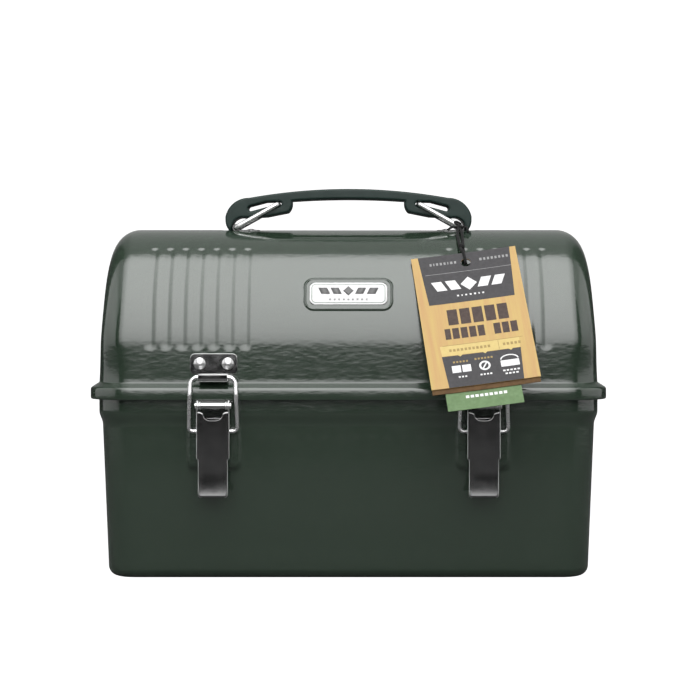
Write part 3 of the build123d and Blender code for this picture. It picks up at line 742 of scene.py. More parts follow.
def flange_front(z):
    """How far out its front edge is: the face, then the round of the ear."""
    if z <= PIVOT[1] - 1.2:
        return LEVER_OUT
    return min(LEVER_OUT, PIVOT[0] + sqrt(max(0.0, (EAR_RADIUS + 0.05) ** 2 - max(0.0, z - PIVOT[1]) ** 2)))


def notch_edge(x):
    """Height of the face's top edge, with the round notch between the ears."""
    ax = abs(x)
    if ax >= 6.25:
        return FACE_TOP - 0.9 * smooth((8.2 - ax) / 1.9)
    return 101.5 + (4.6 - sqrt(max(0.0, 4.6 ** 2 - max(0.0, ax - 1.65) ** 2)))


def lever_out(z):
    """The face is flat and eases outward at the finger tab."""
    return LEVER_OUT + (0.85 * ((72.0 - z) / (72.0 - TIP_Z)) ** 2 if z < 72.0 else 0.0)


def make_lever(side_name, x):
    point = section_point(x, -1)
    bend = 1.0
    ears = [EAR_RADIUS * sin(radians(a)) + PIVOT[1] for a in (90, 78, 62, 45, 28, 10)] + [109.6, 108.4, 107.6]
    low_rows = [FACE_TOP - 1.0 * k for k in range(1, 8)]
    shared = [100.0 - 1.5 * k for k in range(1, 15)] + [78.4, FLANGE_END]
    tail = [76.9, 75.0, 72.0, 69.0, 66.0, 63.0, 60.0, 58.0]
    tail += [TIP_Z + rise for rise in (3.2, 2.0, 1.4, 0.9, 0.5, 0.2, 0.08, 0.0)]
    face_x = [0, 0.8, 1.65, 2.6, 3.6, 4.5, 5.2, 5.75, 6.1, 6.25, 6.8, 7.6, 8.4]
    inner = LEVER_HALF - bend
    face_x = [v for v in face_x if v < inner] + [inner]
    face_x = [-v for v in reversed(face_x) if v > 0] + face_x
    turns = [15, 35, 55, 75, 90]
    depths = [0.25, 0.5, 0.75, 1.0]
    verts, index, faces = [], {}, []

    def put(row, column, place_at):
        index[row, column] = len(verts)
        verts.append(point(*place_at))

    def side_columns(row, z, half, out, back, round_bend):
        for end in (-1, 1):
            for k, turn in enumerate(turns):
                a = radians(turn)
                put(row, (end, k), (end * (half - round_bend + round_bend * sin(a)),
                                    out - round_bend * (1 - cos(a)), z))
            for k, depth in enumerate(depths):
                start = out - round_bend
                put(row, (end, len(turns) + k), (end * half, start + (min(back, start) - start) * depth, z))

    row = 0
    rows = []
    for z in ears:
        side_columns(row, z, LEVER_HALF, flange_front(z), flange_back(z), 0.25 if z > 108 else 0.8)
        rows.append(("ear", row))
        row += 1
    for z in [FACE_TOP] + low_rows + shared:
        side_columns(row, z, LEVER_HALF, LEVER_OUT, flange_back(z), bend)
        for c, fx in enumerate(face_x):
            share = (FACE_TOP - z) / (FACE_TOP - low_rows[-1]) if z > low_rows[-1] else 1.0
            top = notch_edge(fx)
            height = top + (low_rows[-1] - top) * share if z >= low_rows[-1] else z
            put(row, c, (fx, LEVER_OUT, height))
        rows.append(("full", row))
        row += 1
    for z in tail:
        inset = 0.0
        if z < TIP_Z + TAIL_CORNER:
            inset = TAIL_CORNER - sqrt(max(0.0, TAIL_CORNER ** 2 - (TIP_Z + TAIL_CORNER - z) ** 2))
        half = TAIL_HALF - inset * 0.999
        lift = z - TIP_Z
        back = HEM - sqrt(max(0.0, HEM ** 2 - max(0.0, HEM - lift) ** 2))
        out = lever_out(z) - back
        for end in (-1, 1):
            for k, turn in enumerate(turns):
                a = radians(turn)
                round_bend = min(HEM, half)
                reach = max(out - round_bend * (1 - cos(a)), lever_out(z) - HEM)
                put(row, (end, k), (end * (half - round_bend + round_bend * sin(a)), reach, z))
        for c, fx in enumerate(face_x):
            put(row, c, (fx / inner * (half - HEM), out, z))
        rows.append(("tail", row))
        row += 1
    columns = [(-1, k) for k in reversed(range(len(turns) + len(depths)))]
    columns += list(range(len(face_x)))
    columns += [(1, k) for k in range(len(turns) + len(depths))]
    # faces of the flanks' rounded bends, which take the painted-highlight steel
    edges = []
    for (_, r), (_, s) in zip(rows, rows[1:]):
        for c, d in zip(columns, columns[1:]):
            corners = [(r, c), (r, d), (s, d), (s, c)]
            if all(corner in index for corner in corners):
                flanks = isinstance(c, tuple) and isinstance(d, tuple)
                if flanks and 1 <= min(c[1], d[1]) and max(c[1], d[1]) <= 4:
                    edges.append(len(faces))
                faces.append(tuple(index[corner] for corner in corners))
    piece = place(f"lever_{side_name}_pressed", verts, faces, f"latch_lever_{side_name}", LEVER_STEEL,
                  "latch_chrome", [f"latch_lever_{side_name}"])
    # the rounded side bends get the painted-highlight steel in place of the lever's own darker steel
    piece.data.materials.append(BEND_HIGHLIGHT_STEEL)
    for k in edges:
        piece.data.polygons[k].material_index = 1
    tidy(piece, 0.01)
    outward(piece, (x, -WALL_Y - 4, 90))
    sharpen(thicken(piece, 0.9, even=False, ease=0.22), 45)
    rings = []
    for low, high in ((7.65, 8.7), (8.95, 10.2)):
        for end in (-1, 1):
            rings.append(extruded(arc(PIVOT, 2.75, 0, 350, 35), point, *sorted((end * low, end * high))))
    stamped(f"lever_{side_name}_collars", rings, f"latch_lever_{side_name}", RIVET, "latch_chrome")


def outward(piece, middle):
    """Turns a sheet's faces away from a point inside it, if most of them look at it."""
    seen = sum((polygon.center - Vector(middle) * MM).dot(polygon.normal) * polygon.area
               for polygon in piece.data.polygons)
    if seen < 0:
        piece.data.flip_normals()


def make_keeper(side_name, x):
    plate = ring_stack(wall_point(x, 137.0, -1), (14.85, 6.35), 3.0, eased_levels(0.05, 1.05, 0.14))
    hook = [(0.55, 132.4)] + arc((2.9, 128.4), 2.35, 180, 262, 8) + arc((8.4, 128.1), 2.0, 262, 360, 12)
    hook += [(10.4, 130.4)]
    strap = extruded(ribbon(hook, 1.0), section_point(x, -1), -9.2, 9.2)
    stamped(f"keeper_{side_name}_stamped", [plate, strap], "lid", PLATED, "latch_chrome",
            [f"keeper_{side_name}"])


def make_latch_base(side_name, x):
    plate = ring_stack(wall_point(x, 88.5, -1), (7.5, 14.5), 2.0, eased_levels(0.05, 1.05, 0.5))
    leg = [(0.55, 100.5), (0.55, 103.0), (0.9, 104.0), (PIVOT[0] - 1.6, PIVOT[1] - 0.4)]
    strap = extruded(ribbon(leg, 1.0), section_point(x, -1), -7.5, 7.5)
    barrel = extruded(arc(PIVOT, 2.5, 0, 350, 35), section_point(x, -1), -7.5, 7.5)
    stamped(f"latch_base_{side_name}_stamped", [plate, strap, barrel], "box", PLATED, "latch_chrome",
            [f"latch_base_{side_name}"])


def make_latches():
    for side_name, x in (("left", -LATCH_X), ("right", LATCH_X)):
        make_lever(side_name, x)
        make_keeper(side_name, x)
        make_latch_base(side_name, x)
    keepers = [wall_point(end * LATCH_X + dx, 137.1, -1) for end in (-1, 1) for dx in (-8.9, 8.9)]
    dome_rivets("keeper_rivet_heads", keepers, "lid", 3.8, 1.55, 1.05, ["keeper_rivets"])
    bases = [wall_point(end * LATCH_X, z, -1) for end in (-1, 1) for z in (81.0, 97.0)]
    dome_rivets("latch_base_rivet_heads", bases, "box", 3.2, 1.25, 1.05, ["latch_base_rivets"])
    rear_low = [wall_point(end * LATCH_X + dx, 88.0, 1) for end in (-1, 1) for dx in (-9, 9)]
    dome_rivets("hinge_body_rivet_heads", rear_low, "box", 3.4, 1.45, 1.25, ["hinge_body_rivets"])
    rear_high = [wall_point(end * LATCH_X + dx, 135.5, 1) for end in (-1, 1) for dx in (-9, 9)]
    dome_rivets("hinge_lid_rivet_heads", rear_high, "lid", 3.4, 1.45, 1.25, ["hinge_lid_rivets"])


# ---- the handle -------------------------------------------------------------------------------------
GRIP_HALF, GRIP_TOP, GRIP_RADIUS, GRIP_THICK = 10.5, 251.0, 370.0, 6.7
GRIP_EASE = 1.4
SLOT_LINE, SLOT_HALF = [(46.2, 240.9), (54.5, 240.7), (65.0, 237.9)], 1.7


def bow(x, top, radius=GRIP_RADIUS):
    return top - x * x / (2 * radius)


def three_point(p, q, r, steps):
    """Points of the arc through three points."""
    (ax, ay), (bx, by), (cx, cy) = p, q, r
    d = 2 * (ax * (by - cy) + bx * (cy - ay) + cx * (ay - by))
    pp, qq, rr = ax * ax + ay * ay, bx * bx + by * by, cx * cx + cy * cy
    ux = (pp * (by - cy) + qq * (cy - ay) + rr * (ay - by)) / d
    uy = (pp * (cx - bx) + qq * (ax - cx) + rr * (bx - ax)) / d
    radius = hypot(ax - ux, ay - uy)
    start, through, stop = (atan2(v - uy, u - ux) for u, v in (p, q, r))
    turn = (stop - start) % (2 * pi)
    if (through - start) % (2 * pi) > turn:
        turn -= 2 * pi
    return [(ux + radius * cos(start + turn * k / steps), uy + radius * sin(start + turn * k / steps))
            for k in range(steps + 1)]


def grip_outline():
    """The grip's outer edge, the right half from the middle of the top round to the underside."""
    half = [(66.0 * k / 14, bow(66.0 * k / 14, GRIP_TOP)) for k in range(14)]
    half += three_point((66, bow(66, GRIP_TOP)), (77.8, 240.3), (81.9, 232.6), 12)
    half += three_point((81.9, 230.6), (81.2, 226.4), (79.2, 223.0), 6)
    half += [(77.9, 223.0), (77.6, 226.0)]
    half += three_point((77.6, 226.0), (75.0, 230.4), (68.5, 231.8), 8)[1:]
    half += [(54.0, 232.6)]
    half += three_point((40.0, 235.4), (38.3, 237.6), (37.4, 243.0), 6)
    half += [(4.5 * k, bow(4.5 * k, GRIP_TOP - GRIP_THICK, 1.45 * GRIP_RADIUS)) for k in range(8, 0, -1)]
    return half + [(0.0, GRIP_TOP - GRIP_THICK)] + [(-a, b) for a, b in reversed(half[1:])]


def slot_outline(end):
    """The slot that the link's cross bar slides in."""
    (x0, z0), (x1, z1), (x2, z2) = SLOT_LINE
    slope = atan2(z2 - z1, x2 - x1)
    da, db = SLOT_HALF * cos(slope / 2 + pi / 2), SLOT_HALF * sin(slope / 2 + pi / 2)
    points = arc((x0, z0), SLOT_HALF, 270, 90, 8) + [(x1 + da, z1 + db)]
    points += arc((x2, z2), SLOT_HALF, degrees(slope) + 90, degrees(slope) - 90, 8) + [(x1 - da, z1 - db)]
    return [(end * a, b) for a, b in points]


def make_grip():
    data = bpy.data.curves.new("grip_outline", "CURVE")
    data.dimensions = "2D"
    data.fill_mode = "BOTH"
    data.extrude = (GRIP_HALF - GRIP_EASE) * MM
    data.bevel_depth = GRIP_EASE * MM
    data.bevel_resolution = 5
    data.offset = -GRIP_EASE * MM
    for outline in (grip_outline(), slot_outline(1), slot_outline(-1)):
        spline = data.splines.new("POLY")
        spline.points.add(len(outline) - 1)
        for target, (a, b) in zip(spline.points, outline):
            target.co = (a * MM, b * MM, 0, 1)
        spline.use_cyclic_u = True
    flat = linked("grip_curve", data)
    mesh = mesh_of(flat)
    bpy.data.objects.remove(flat)
    mesh.transform(Matrix.Rotation(pi / 2, 4, "X"))
    piece = tidy(linked("handle_grip_moulded", mesh, GRIP), 0.01)
    return attach(flat_shading(piece), "handle_grip", ["handle_grip"])


def make_brackets():
    """Straps riveted to the top panel and rolled round the foot of each link."""
    floor = ARCH_Z + WALL_Y - RECESS_DEPTH - 0.4
    for side_name, end in (("left", -1), ("right", 1)):
        foot = (end * 74.8, 225.2)
        plate = ring_stack(lambda a, b, up, e=end: (e * 66.9 + a, b, floor + up), (7.9, 8.0), 2.0,
                           eased_levels(-0.5, 0.5, 0.3))
        roll = [(foot[0] + a, foot[1] + b) for a, b in circle(30, 2.55)]
        barrel = extruded(roll, lambda a, u, z: (u, a, z), -8.0, 8.0)
        stamped(f"handle_bracket_{side_name}_rolled", [plate, barrel], "lid", DARK_STEEL, "bracket_steel",
                [f"handle_bracket_{side_name}"], 0.3)
    heads = [lambda a, b, up, x=x, y=y: (x + a, y + b, floor + up) for x in (-65, 65) for y in (-5, 5)]
    dome_rivets("handle_bracket_rivet_heads", heads, "lid", 2.8, 0.7, 0.5, ["handle_bracket_rivets"])


# ---- the badge --------------------------------------------------------------------------------------
BADGE_RISE = 25.8


def badge_point(a, b, out):
    rise = radians(BADGE_RISE) + b / WALL_Y
    return a, -(WALL_Y + out) * cos(rise), ARCH_Z + (WALL_Y + out) * sin(rise)


def patch(point, corners, across, along, lift):
    """A four-cornered area laid on a surface, as a grid."""
    verts = []
    (ax, ay), (bx, by), (cx, cy), (dx, dy) = corners
    for j in range(along + 1):
        t = j / along
        for k in range(across + 1):
            s = k / across
            x = (1 - s) * (1 - t) * ax + s * (1 - t) * bx + s * t * cx + (1 - s) * t * dx
            y = (1 - s) * (1 - t) * ay + s * (1 - t) * by + s * t * cy + (1 - s) * t * dy
            verts.append(point(x, y, lift))
    return verts, grid_faces(along + 1, across + 1)


def bar(a, b, width, height, slant=0.0):
    """Corners of an upright or slanted bar about a middle point."""
    return [(a - width / 2 - slant, b - height / 2), (a + width / 2 - slant, b - height / 2),
            (a + width / 2 + slant, b + height / 2), (a - width / 2 + slant, b + height / 2)]


def lozenge(a, b, half_a, half_b):
    return [(a, b - half_b), (a + half_a, b), (a, b + half_b), (a - half_a, b)]


def printed(name, parts, material):
    """A print on the badge."""
    return thicken(place(name, *joined(parts), "lid", material, "badge_plate"), 0.03)


def make_badge():
    half, corner = (27.65, 10.8), 5.8
    bezel_levels = [(-1.0, 0.0), (-0.35, 0.45), (0.0, 0.8), (0.2, 0.92), (0.42, 0.86), (0.85, 0.3),
                    (1.2, 0.24), (2.2, 0.3), (2.8, 0.36), (3.12, 0.4)]
    verts, faces = ring_stack(badge_point, half, corner, bezel_levels, cap=False, cap_low=False)
    bezel = place("badge_bezel_raised", verts, faces, "lid", GREEN, "badge_rim", ["badge_bezel"])
    sharpen(thicken(tidy(bezel), 0.3), 50)
    plate_levels = [(3.0, 0.55), (3.2, 0.78), (3.45, 0.85), (4.2, 0.85), (4.65, 0.85), (5.2, 0.86),
                    (6.5, 0.86), (8.5, 0.86), (10.2, 0.86)]
    verts, faces = ring_stack(badge_point, half, corner + 1.2, plate_levels, cap=True, cap_low=False)
    plate = place("badge_plate_face", verts, faces, "lid", BADGE_WHITE, "badge_plate", ["badge_plate"])
    plate.data.materials.append(BADGE_LINE)
    per_ring = 4 * (RING_STEPS + 1)
    for k in range(per_ring):
        plate.data.polygons[3 * per_ring + k].material_index = 1
    thicken(plate, 0.3)
    lift = 0.89
    middle = [patch(badge_point, lozenge(0, 1.7, 3.3, 3.3), 4, 4, lift)]
    for end in (-1, 1):
        for away, wide in ((7.8, 5.2), (15.4, 5.6)):
            middle.append(patch(badge_point, bar(end * away, 1.7, wide, 4.4, end), 2, 4, lift))
    printed("badge_emblem", middle, BADGE_MARK)
    pale = [patch(badge_point, bar(2.9 * k, -4.2, 1.2, 1.3), 1, 2, lift) for k in range(-4, 5)]
    printed("badge_emblem_dots", pale, BADGE_PALE)


# ---- the swing tag ----------------------------------------------------------------------------------
TAG_LEAN = radians(9.3)
TAG_TWIST = radians(-5.5)
TAG_OFF = 4.3
TAG_HOLE_X, TAG_HOLE_UP = 74.9, 6.3
CARD_LEFT, CARD_RIGHT, CARD_LOW, CARD_HIGH = -34.3, 32.9, -94.6, 8.0
CARD_BOW = 0.5


def tag_matrix():
    """The tag's own frame: across the card, up the card, out of its face, its origin at the hole."""
    reach = WALL_Y + TAG_OFF
    hole_z = ARCH_Z + 0.6 * reach + 0.8 * TAG_HOLE_UP
    origin = Vector((TAG_HOLE_X, -0.8 * reach + 0.6 * TAG_HOLE_UP, hole_z)) * MM
    across = Vector((cos(TAG_LEAN), 0.6 * sin(TAG_LEAN), 0.8 * sin(TAG_LEAN)))
    out = Vector((0, -0.8, 0.6))
    twist = Matrix.Rotation(TAG_TWIST, 3, "Z")
    across, out = twist @ across, twist @ out
    up = out.cross(across)
    matrix = Matrix((across, up, out)).transposed().to_4x4()
    matrix.translation = origin
    return matrix


def card_point(a, b, out):
    """Local tag coordinates of a point on the gently bowed card."""
    return a, b, out + CARD_BOW * ((a - 0.7) / 34) ** 2 - 0.35 * ((b + 43) / 52) ** 2


def on_card(corners, across, along, lift):
    """A four-cornered area of the card."""
    return patch(card_point, corners, across, along, lift)


def tag_piece(name, parts, material, thickness, replaced=()):
    """A tag piece drawn in the tag's own frame."""
    piece = drawn(name, *joined(parts), material)
    sharpen(thicken(piece, thickness))
    piece.matrix_world = tag_matrix()
    bpy.context.view_layer.update()
    return attach(piece, "tag", replaced)


def holed_card(left, right, low, high, hole, lift):
    """A card with a round hole at the origin: a grid whose middle cell is cut out round the hole."""
    cell = hole * 2.2
    columns = sorted({left, right, -cell, cell} | {left + (right - left) * k / 12 for k in range(13)})
    columns = [v for v in columns if v in (left, right, -cell, cell) or abs(v) > cell + 1.5]
    rows = sorted({low, high, -cell, cell} | {low + (high - low) * k / 20 for k in range(21)})
    rows = [v for v in rows if v in (low, high, -cell, cell) or (abs(v) > cell + 0.2 and v > low + 2)]
    if high <= cell:
        rows = [v for v in rows if v <= high]
    verts = [card_point(a, b, lift) for b in rows for a in columns]
    top = min(cell, high)
    width = len(columns)
    faces = []
    for face in grid_faces(len(rows), width):
        j, k = divmod(face[0], width)
        if columns[k] < -cell or columns[k + 1] > cell or rows[j] < -cell or rows[j + 1] > top:
            faces.append(face)
    return joined([(verts, faces), hole_ring(hole, cell, top, lift)])


def band(inner, outer):
    """The ring of faces between two closed lines of as many points."""
    steps = len(inner)
    return inner + outer, [(k, steps + k, steps + (k + 1) % steps, (k + 1) % steps) for k in range(steps)]


def hole_ring(hole, cell, top, lift, steps=32):
    """The area between a hole at the origin and the square cell round it, which is cut short at the top."""
    outer = []
    for c, s in circle(steps):
        size = min(cell / max(abs(c), 1e-6), (top if s > 0 else cell) / max(abs(s), 1e-6))
        outer.append(card_point(size * c, size * s, lift))
    return band([card_point(a, b, lift) for a, b in circle(steps, hole)], outer)


def side_bands(b):
    """The left and right edges of the print at a height: the bare kraft beside it widens downward."""
    down = (CARD_HIGH - b) / 104
    return CARD_LEFT + 4.3 + 6.7 * down, CARD_RIGHT - 3.8 - 6.5 * down


def print_area(low, high, lift, inset=0.0):
    """A printed area across the card between two heights, tapering as the print does."""
    (left_low, right_low), (left_high, right_high) = side_bands(low), side_bands(high)
    return on_card([(left_low + inset, low), (right_low - inset, low), (right_high - inset, high),
                    (left_high + inset, high)], 10, 8, lift)


def words(rows, lift):
    """Rows of plain blocks standing for words: middle across and up, widths, height and gap of each."""
    parts = []
    for a, b, widths, height, gap in rows:
        x = a - (sum(widths) + gap * (len(widths) - 1)) / 2
        for width in widths:
            parts.append(on_card(bar(x + width / 2, b, width, height), 2, 2, lift))
            x += width + gap
    return parts


def make_tag():
    hole = 3.2
    front = holed_card(CARD_LEFT, CARD_RIGHT, CARD_LOW, CARD_HIGH, hole, 0.0)
    back = holed_card(CARD_LEFT + 0.2, CARD_RIGHT - 0.5, CARD_LOW - 3.4, CARD_HIGH - 0.3, hole, -0.75)
    tag_piece("tag_front_leaf", [front], KRAFT, 0.45, ["tag_card"])
    # the back leaf is coloured dark brown as painted shadow under the front leaf
    tag_piece("tag_back_leaf", [back], KRAFT_BACK_SHADOW, 0.35)
    green = [(-26.3, -110.6), (20.2, -110.6), (20.2, -56.0), (-26.3, -56.0)]
    tag_piece("tag_green_card", [on_card(green, 8, 8, -1.25)], GREEN_CARD, 0.35,
              ["tag_inner_card"])
    lift, ink = 0.03, 0.06
    dark_top = holed_print(-31.0, CARD_HIGH, hole, lift)
    tag_piece("tag_print_grey", [dark_top, print_area(CARD_LOW, -71.2, lift)], INK_GREY, 0.02)
    strip = [print_area(-70.9, -63.5, lift, 0.3)]
    strip += [on_card(lozenge(a, -71.2, 1.3, 1.1), 2, 2, ink) for a in (-13.5, 2.0, 18.0)]
    tag_piece("tag_print_strip", strip, KRAFT_LIGHT, 0.02)
    pale = words(((-14.6, 1.2, [1.3, 0.7, 1.3, 1.3, 1.3, 0.7, 1.5, 1.3], 2.0, 1.1),
                  (18.0, 1.2, [1.5] + [1.3] * 7, 2.0, 1.1)), ink)
    pale += [on_card(bar(0.6, -6.8, 55.0, 0.3), 6, 1, ink)]
    tag_piece("tag_print_pale", pale, INK_PALE, 0.02)
    white = [on_card(lozenge(-0.5, -16.8, 5.2, 5.2), 4, 4, ink)]
    for end in (-1, 1):
        for away in (10.0, 18.8):
            white += [on_card(bar(-0.5 + end * away, -16.8, 6.4, 7.4, end * 1.6), 3, 3, ink)]
    white += words(((-0.5, -25.6, [1.2, 0.8, 1.2, 1.2, 1.2, 0.8, 1.2], 1.2, 1.6),
                    (-14.0, -81.5, [5.4] * 2, 5.2, 0.9), (-14.0, -87.4, [1.2] * 3, 1.1, 0.8),
                    (0.4, -87.6, [1.2] * 4, 1.1, 0.8), (16.0, -86.8, [1.4] * 5, 1.1, 0.8),
                    (16.0, -89.2, [1.4] * 4, 1.1, 0.8)), ink)
    white += [ring_patch((0.4, -81.2), 2.3, 3.5, ink)]
    white += [on_card(bar(0.4, -81.2, 1.0, 4.6, 1.5), 1, 3, ink)]
    white += [on_card(bar(16.0, -81.6, 11.4, 4.6), 3, 3, ink)]
    white += [ring_arch((16.0, -78.6), 5.7, 3.4, 0.8, ink)]
    tag_piece("tag_print_white", white, INK_WHITE, 0.02)
    dark = words(((1.6, -42.0, [6.4] * 5, 12.0, 1.5), (-8.2, -54.6, [3.6] + [4.2] * 4, 8.2, 1.1),
                  (17.4, -54.6, [4.2] * 3, 8.2, 1.1)), ink)
    tag_piece("tag_print_brown", dark, INK_DARK, 0.02)
    tan = [on_card(bar(1.5, -63.3, 50.0, 0.35), 6, 1, ink)]
    tan += [on_card(bar(11.0, -67.2, 0.35, 6.6), 1, 2, ink)]
    tan += words(((-7.0, -67.2, [1.5] * 11, 2.0, 0.9), (19.2, -67.2, [1.5] * 5, 2.0, 0.9),
                  (-14.0, -76.2, [1.2] * 5, 1.3, 0.8), (0.4, -75.6, [1.2] * 6, 1.3, 0.8)), ink)
    tag_piece("tag_print_tan", tan, INK_TAN, 0.02)
    row = words(((-1.6, -101.6, [2.0] * 9, 1.9, 0.9),), -1.19)
    tag_piece("tag_green_print", row, INK_WHITE, 0.02)


def holed_print(low, high, hole, lift):
    """The print's top area, with the tag's hole through it."""
    cell = 7.0
    left_low, right_low = side_bands(low)
    left_mid, right_mid = side_bands(-cell)
    left_high, right_high = side_bands(high)
    areas = [([(left_low, low), (right_low, low), (right_mid, -cell), (left_mid, -cell)], 10, 6),
             ([(left_mid, -cell), (-cell, -cell), (-cell, high), (left_high, high)], 5, 4),
             ([(cell, -cell), (right_mid, -cell), (right_high, high), (cell, high)], 5, 4),
             ([(-cell, cell), (cell, cell), (cell, high), (-cell, high)], 2, 1)]
    parts = [on_card(corners, across, along, lift) for corners, across, along in areas]
    return joined(parts + [hole_ring(hole, cell, cell, lift)])


def ring_patch(middle, inner, outer, lift, steps=24):
    """A printed ring."""
    return band(*([card_point(middle[0] + a, middle[1] + b, lift) for a, b in circle(steps, radius)]
                  for radius in (inner, outer)))


def ring_arch(middle, half, height, line, lift, steps=12):
    """A printed arch: the outline of a half-round lid."""
    verts = []
    for k in range(steps + 1):
        turn = pi * k / steps
        for shrink in (0.0, line):
            a, b = (half - shrink) * cos(turn), (height - shrink) * sin(turn)
            verts.append(card_point(middle[0] + a, middle[1] + b, lift))
    return verts, [(2 * k, 2 * k + 2, 2 * k + 3, 2 * k + 1) for k in range(steps)]


CORD_RADIUS = 0.9
CORD_ROUTE = [(0.0726, -0.0170, 0.2247), (0.0714, -0.0269, 0.2219), (0.0712, -0.0375, 0.2171),
              (0.0719, -0.0473, 0.2109), (0.0736, -0.0556, 0.2079), (0.0749, -0.0610, 0.2016),
              (0.0749, -0.0582, 0.1995), (0.0747, -0.0537, 0.2052), (0.0739, -0.0461, 0.2114),
              (0.0743, -0.0368, 0.2172), (0.0744, -0.0268, 0.2217), (0.0739, -0.0170, 0.2245)]


def nurbs(name, points, radius, cyclic=False):
    """A round cord along a smooth spline; points in metres, the radius in millimetres."""
    data = bpy.data.curves.new(name, "CURVE")
    data.dimensions = "3D"
    data.resolution_u = 12
    data.bevel_depth = radius * MM
    data.bevel_resolution = 5
    data.use_fill_caps = True
    spline = data.splines.new("NURBS")
    spline.points.add(len(points) - 1)
    for target, p in zip(spline.points, points):
        target.co = (*p, 1)
    spline.order_u = 3
    spline.use_endpoint_u = not cyclic
    spline.use_cyclic_u = cyclic
    data.materials.append(BRAID)
    return linked(name, data)


def knot(name, middle, size, tails, replaced):
    """A small hard knot: turns of cord wound on each other, with any loose tails."""
    items = []
    for k, (tilt, spin) in enumerate([(0.2, 0.0), (1.2, 0.8), (1.0, 2.3), (0.5, 3.9)]):
        around = Matrix.Rotation(spin, 3, "Z") @ Matrix.Rotation(tilt, 3, "X")
        turns = [(Vector(middle) + around @ Vector((a, b, 0))) * MM for a, b in circle(10, size)]
        items.append(nurbs(f"{name}_turn_{k}", turns, 0.85, cyclic=True))
    for k, tail in enumerate(tails):
        items.append(nurbs(f"{name}_tail_{k}", [Vector(p) * MM for p in tail], 0.8))
    work = bmesh.new()
    for item in items:
        work.from_mesh(mesh_of(item))
    for item in items:
        bpy.data.objects.remove(item)
    mesh = bpy.data.meshes.new(name)
    work.to_mesh(mesh)
    work.free()
    return attach(linked(name, mesh, BRAID), "tag", replaced)


def make_cord():
    cord = attach(nurbs("tag_cord_braid", CORD_ROUTE, CORD_RADIUS), "tag", ["tag_cord"])
    top = knot("tag_cord_knot_wound", (73.3, -16.7, 225.0), 1.5,
               [[(73.0, -17.5, 225.0), (69.6, -19.4, 225.6), (66.6, -21.0, 224.4), (65.6, -21.6, 223.3)],
                [(73.6, -17.5, 225.0), (76.6, -20.0, 225.8), (78.8, -23.0, 224.0), (78.2, -26.4, 221.6)],
                [(73.3, -16.2, 226.0), (70.0, -15.5, 228.0), (71.5, -12.6, 229.6), (74.6, -13.6, 227.4)]],
               ["tag_cord_knot_top"])
    mid = knot("tag_cord_knot_slide", (72.9, -47.2, 211.6), 1.45, [], ["tag_cord_knot_mid"])


def finish_nodes():
    """Gives the CAD nodes that still show their steel."""
    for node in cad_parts.values():
        if node.hide_render:
            continue
        bright = node.name.startswith(("latch", "bottle_wire", "handle_link"))
        node.data.materials.clear()
        node.data.materials.append(CHROME if bright else STEEL)


# ---- studio -----------------------------------------------------------------------------------------
def stage_mesh(name, verts, faces, material, seen=False):
    """A light, card or wall of the studio, which the camera sees only where asked."""
    mesh = bpy.data.meshes.new(name)
    mesh.from_pydata(verts, [], faces)
    mesh.materials.append(material)
    item = linked(name, mesh)
    item.visible_camera = seen
    return item


def plain(name, color, roughness, glow=0.0):
    m = Nodes(name)
    m.set(Base_Color=(*color, 1), Roughness=roughness)
    if glow:
        m.set(Emission_Color=(*color, 1), Emission_Strength=glow)
    return m.material


SHEET_AXIS = 0.14    # height of the axis that the light panel curves round, in metres


def light_sheet(name, low, high, half, reach, levels, spread, steps):
    """A curved light panel round the box's front and top; levels are (degrees up, brightness), and spread
    is (metres from the middle, share of it)."""
    turns = [radians(low + (high - low) * k / steps) for k in range(steps + 1)]
    verts = [(end * half, -reach * cos(a), SHEET_AXIS + reach * sin(a)) for a in turns for end in (-1, 1)]
    m = Nodes(name)
    m.set(Base_Color=(0, 0, 0, 1), Roughness=1.0, Specular_IOR_Level=0.0)
    m.set(Emission_Color=(1, 1, 1, 1))
    place_at = m.add("ShaderNodeSeparateXYZ")
    m.link(m.coordinates(), place_at.inputs[0])
    lift = m.math("SUBTRACT", place_at.outputs["Z"], SHEET_AXIS)
    turn = m.math("ARCTAN2", lift, m.math("MULTIPLY", place_at.outputs["Y"], -1.0))
    brightest = max(value for _, value in levels)
    glow = m.ramp(m.math("DIVIDE", turn, pi), [(up / 180, grey(value / brightest)) for up, value in levels])
    shares = [(metres, grey(value)) for metres, value in spread]
    width = m.ramp(m.math("ABSOLUTE", place_at.outputs["X"]), shares)
    strength = m.math("MULTIPLY", m.math("MULTIPLY", glow, width), brightest)
    m.link(strength, m.shader.inputs["Emission Strength"])
    return stage_mesh(name, verts, grid_faces(steps + 1, 2), m.material)


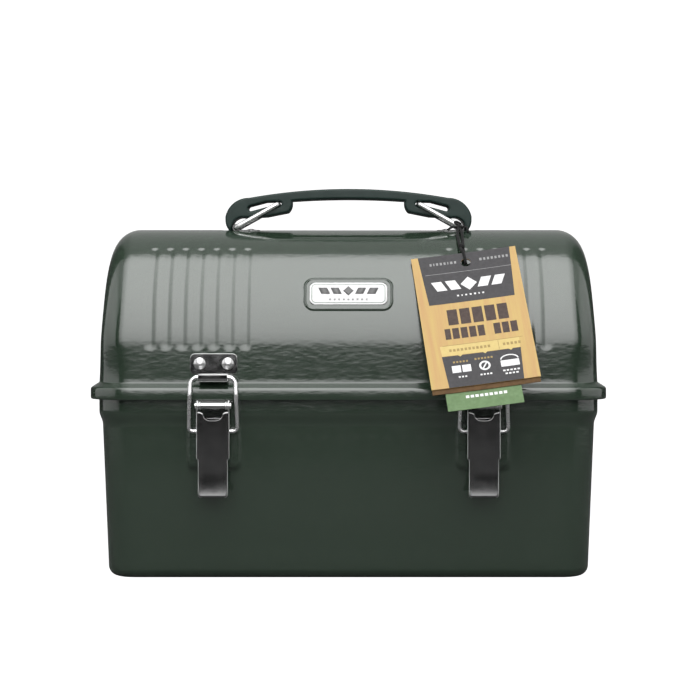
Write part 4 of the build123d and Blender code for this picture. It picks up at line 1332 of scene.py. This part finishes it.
def make_studio():
    for name, front, back, tone in (("near_floor", -0.52, 2.0, 0.08), ("far_floor", -1.58, -0.52, 0.006)):
        stage_mesh(name, [(-3, front, -0.0005), (3, front, -0.0005), (3, back, -0.0005),
                          (-3, back, -0.0005)], [(0, 1, 2, 3)], plain(name, grey(tone), 1.0))
    stage_mesh("front_card", [(-2, -1.57, 0), (2, -1.57, 0), (2, -1.57, 0.155), (-2, -1.57, 0.155)],
               [(0, 1, 2, 3)], plain("front_card", grey(0.005), 1.0))
    levels = [(0.5, 1.6), (3, 2.7), (9, 3.2), (21, 3.7), (45, 4.1), (65, 4.1), (87, 3.7), (95, 3.2),
              (100, 0.5), (175, 0.4)]
    spread = [(0.42, 1.0), (0.62, 0.72), (0.86, 0.5), (0.94, 0.05)]
    light_sheet("soft_light", -0.2, 175.0, 0.95, 1.55, levels, spread, 60)
    for end in (-1, 1):
        x, side = end * 1.35, "left" if end < 0 else "right"
        for level, low, high, glow in (("low", 0.0, 0.42, 0.13), ("high", 0.42, 3.0, 0.27)):
            stage_mesh(f"side_card_{level}_{side}",
                       [(x, -1.3, low), (x, 0.6, low), (x, 0.6, high), (x, -1.3, high)], [(0, 1, 2, 3)],
                       plain(f"side_card_{level}", grey(1.0), 0.9, glow))
    # a closed white room that only the camera sees
    corners = [(x, y, z) for z in (-0.4, 6) for x, y in ((-6, -6), (6, -6), (6, 6), (-6, 6))]
    walls = [(0, 1, 2, 3), (7, 6, 5, 4), (0, 4, 5, 1), (1, 5, 6, 2), (2, 6, 7, 3), (3, 7, 4, 0)]
    room = stage_mesh("backdrop", corners, walls, plain("backdrop", grey(1.0), 0.9, 1.1), seen=True)
    room.visible_glossy = False
    room.visible_diffuse = False
    room.visible_shadow = False
    world = bpy.data.worlds.new("studio")
    bpy.context.scene.world = world
    world.use_nodes = True
    world.node_tree.nodes["Background"].inputs["Color"].default_value = (1, 1, 1, 1)
    world.node_tree.nodes["Background"].inputs["Strength"].default_value = 0.06
    bpy.context.scene.view_settings.view_transform = "Standard"


CAMERA_AT, CAMERA_AIM, CAMERA_LENS = (0.001, -1.2755, 0.1772), (0.001, -0.076, 0.1456), 97.8


def make_camera():
    data = bpy.data.cameras.new("camera")
    data.lens = CAMERA_LENS
    data.sensor_width = 36
    camera = linked("camera", data)
    camera.location = CAMERA_AT
    camera.rotation_euler = (Vector(CAMERA_AIM) - camera.location).to_track_quat("-Z", "Y").to_euler()
    bpy.context.scene.camera = camera


# ---- the scene, camera and cord first ---------------------------------------------------------------
make_camera()
make_cord()
make_body()
make_lid()
make_latches()
make_grip()
make_brackets()
make_badge()
make_tag()
finish_nodes()
make_studio()
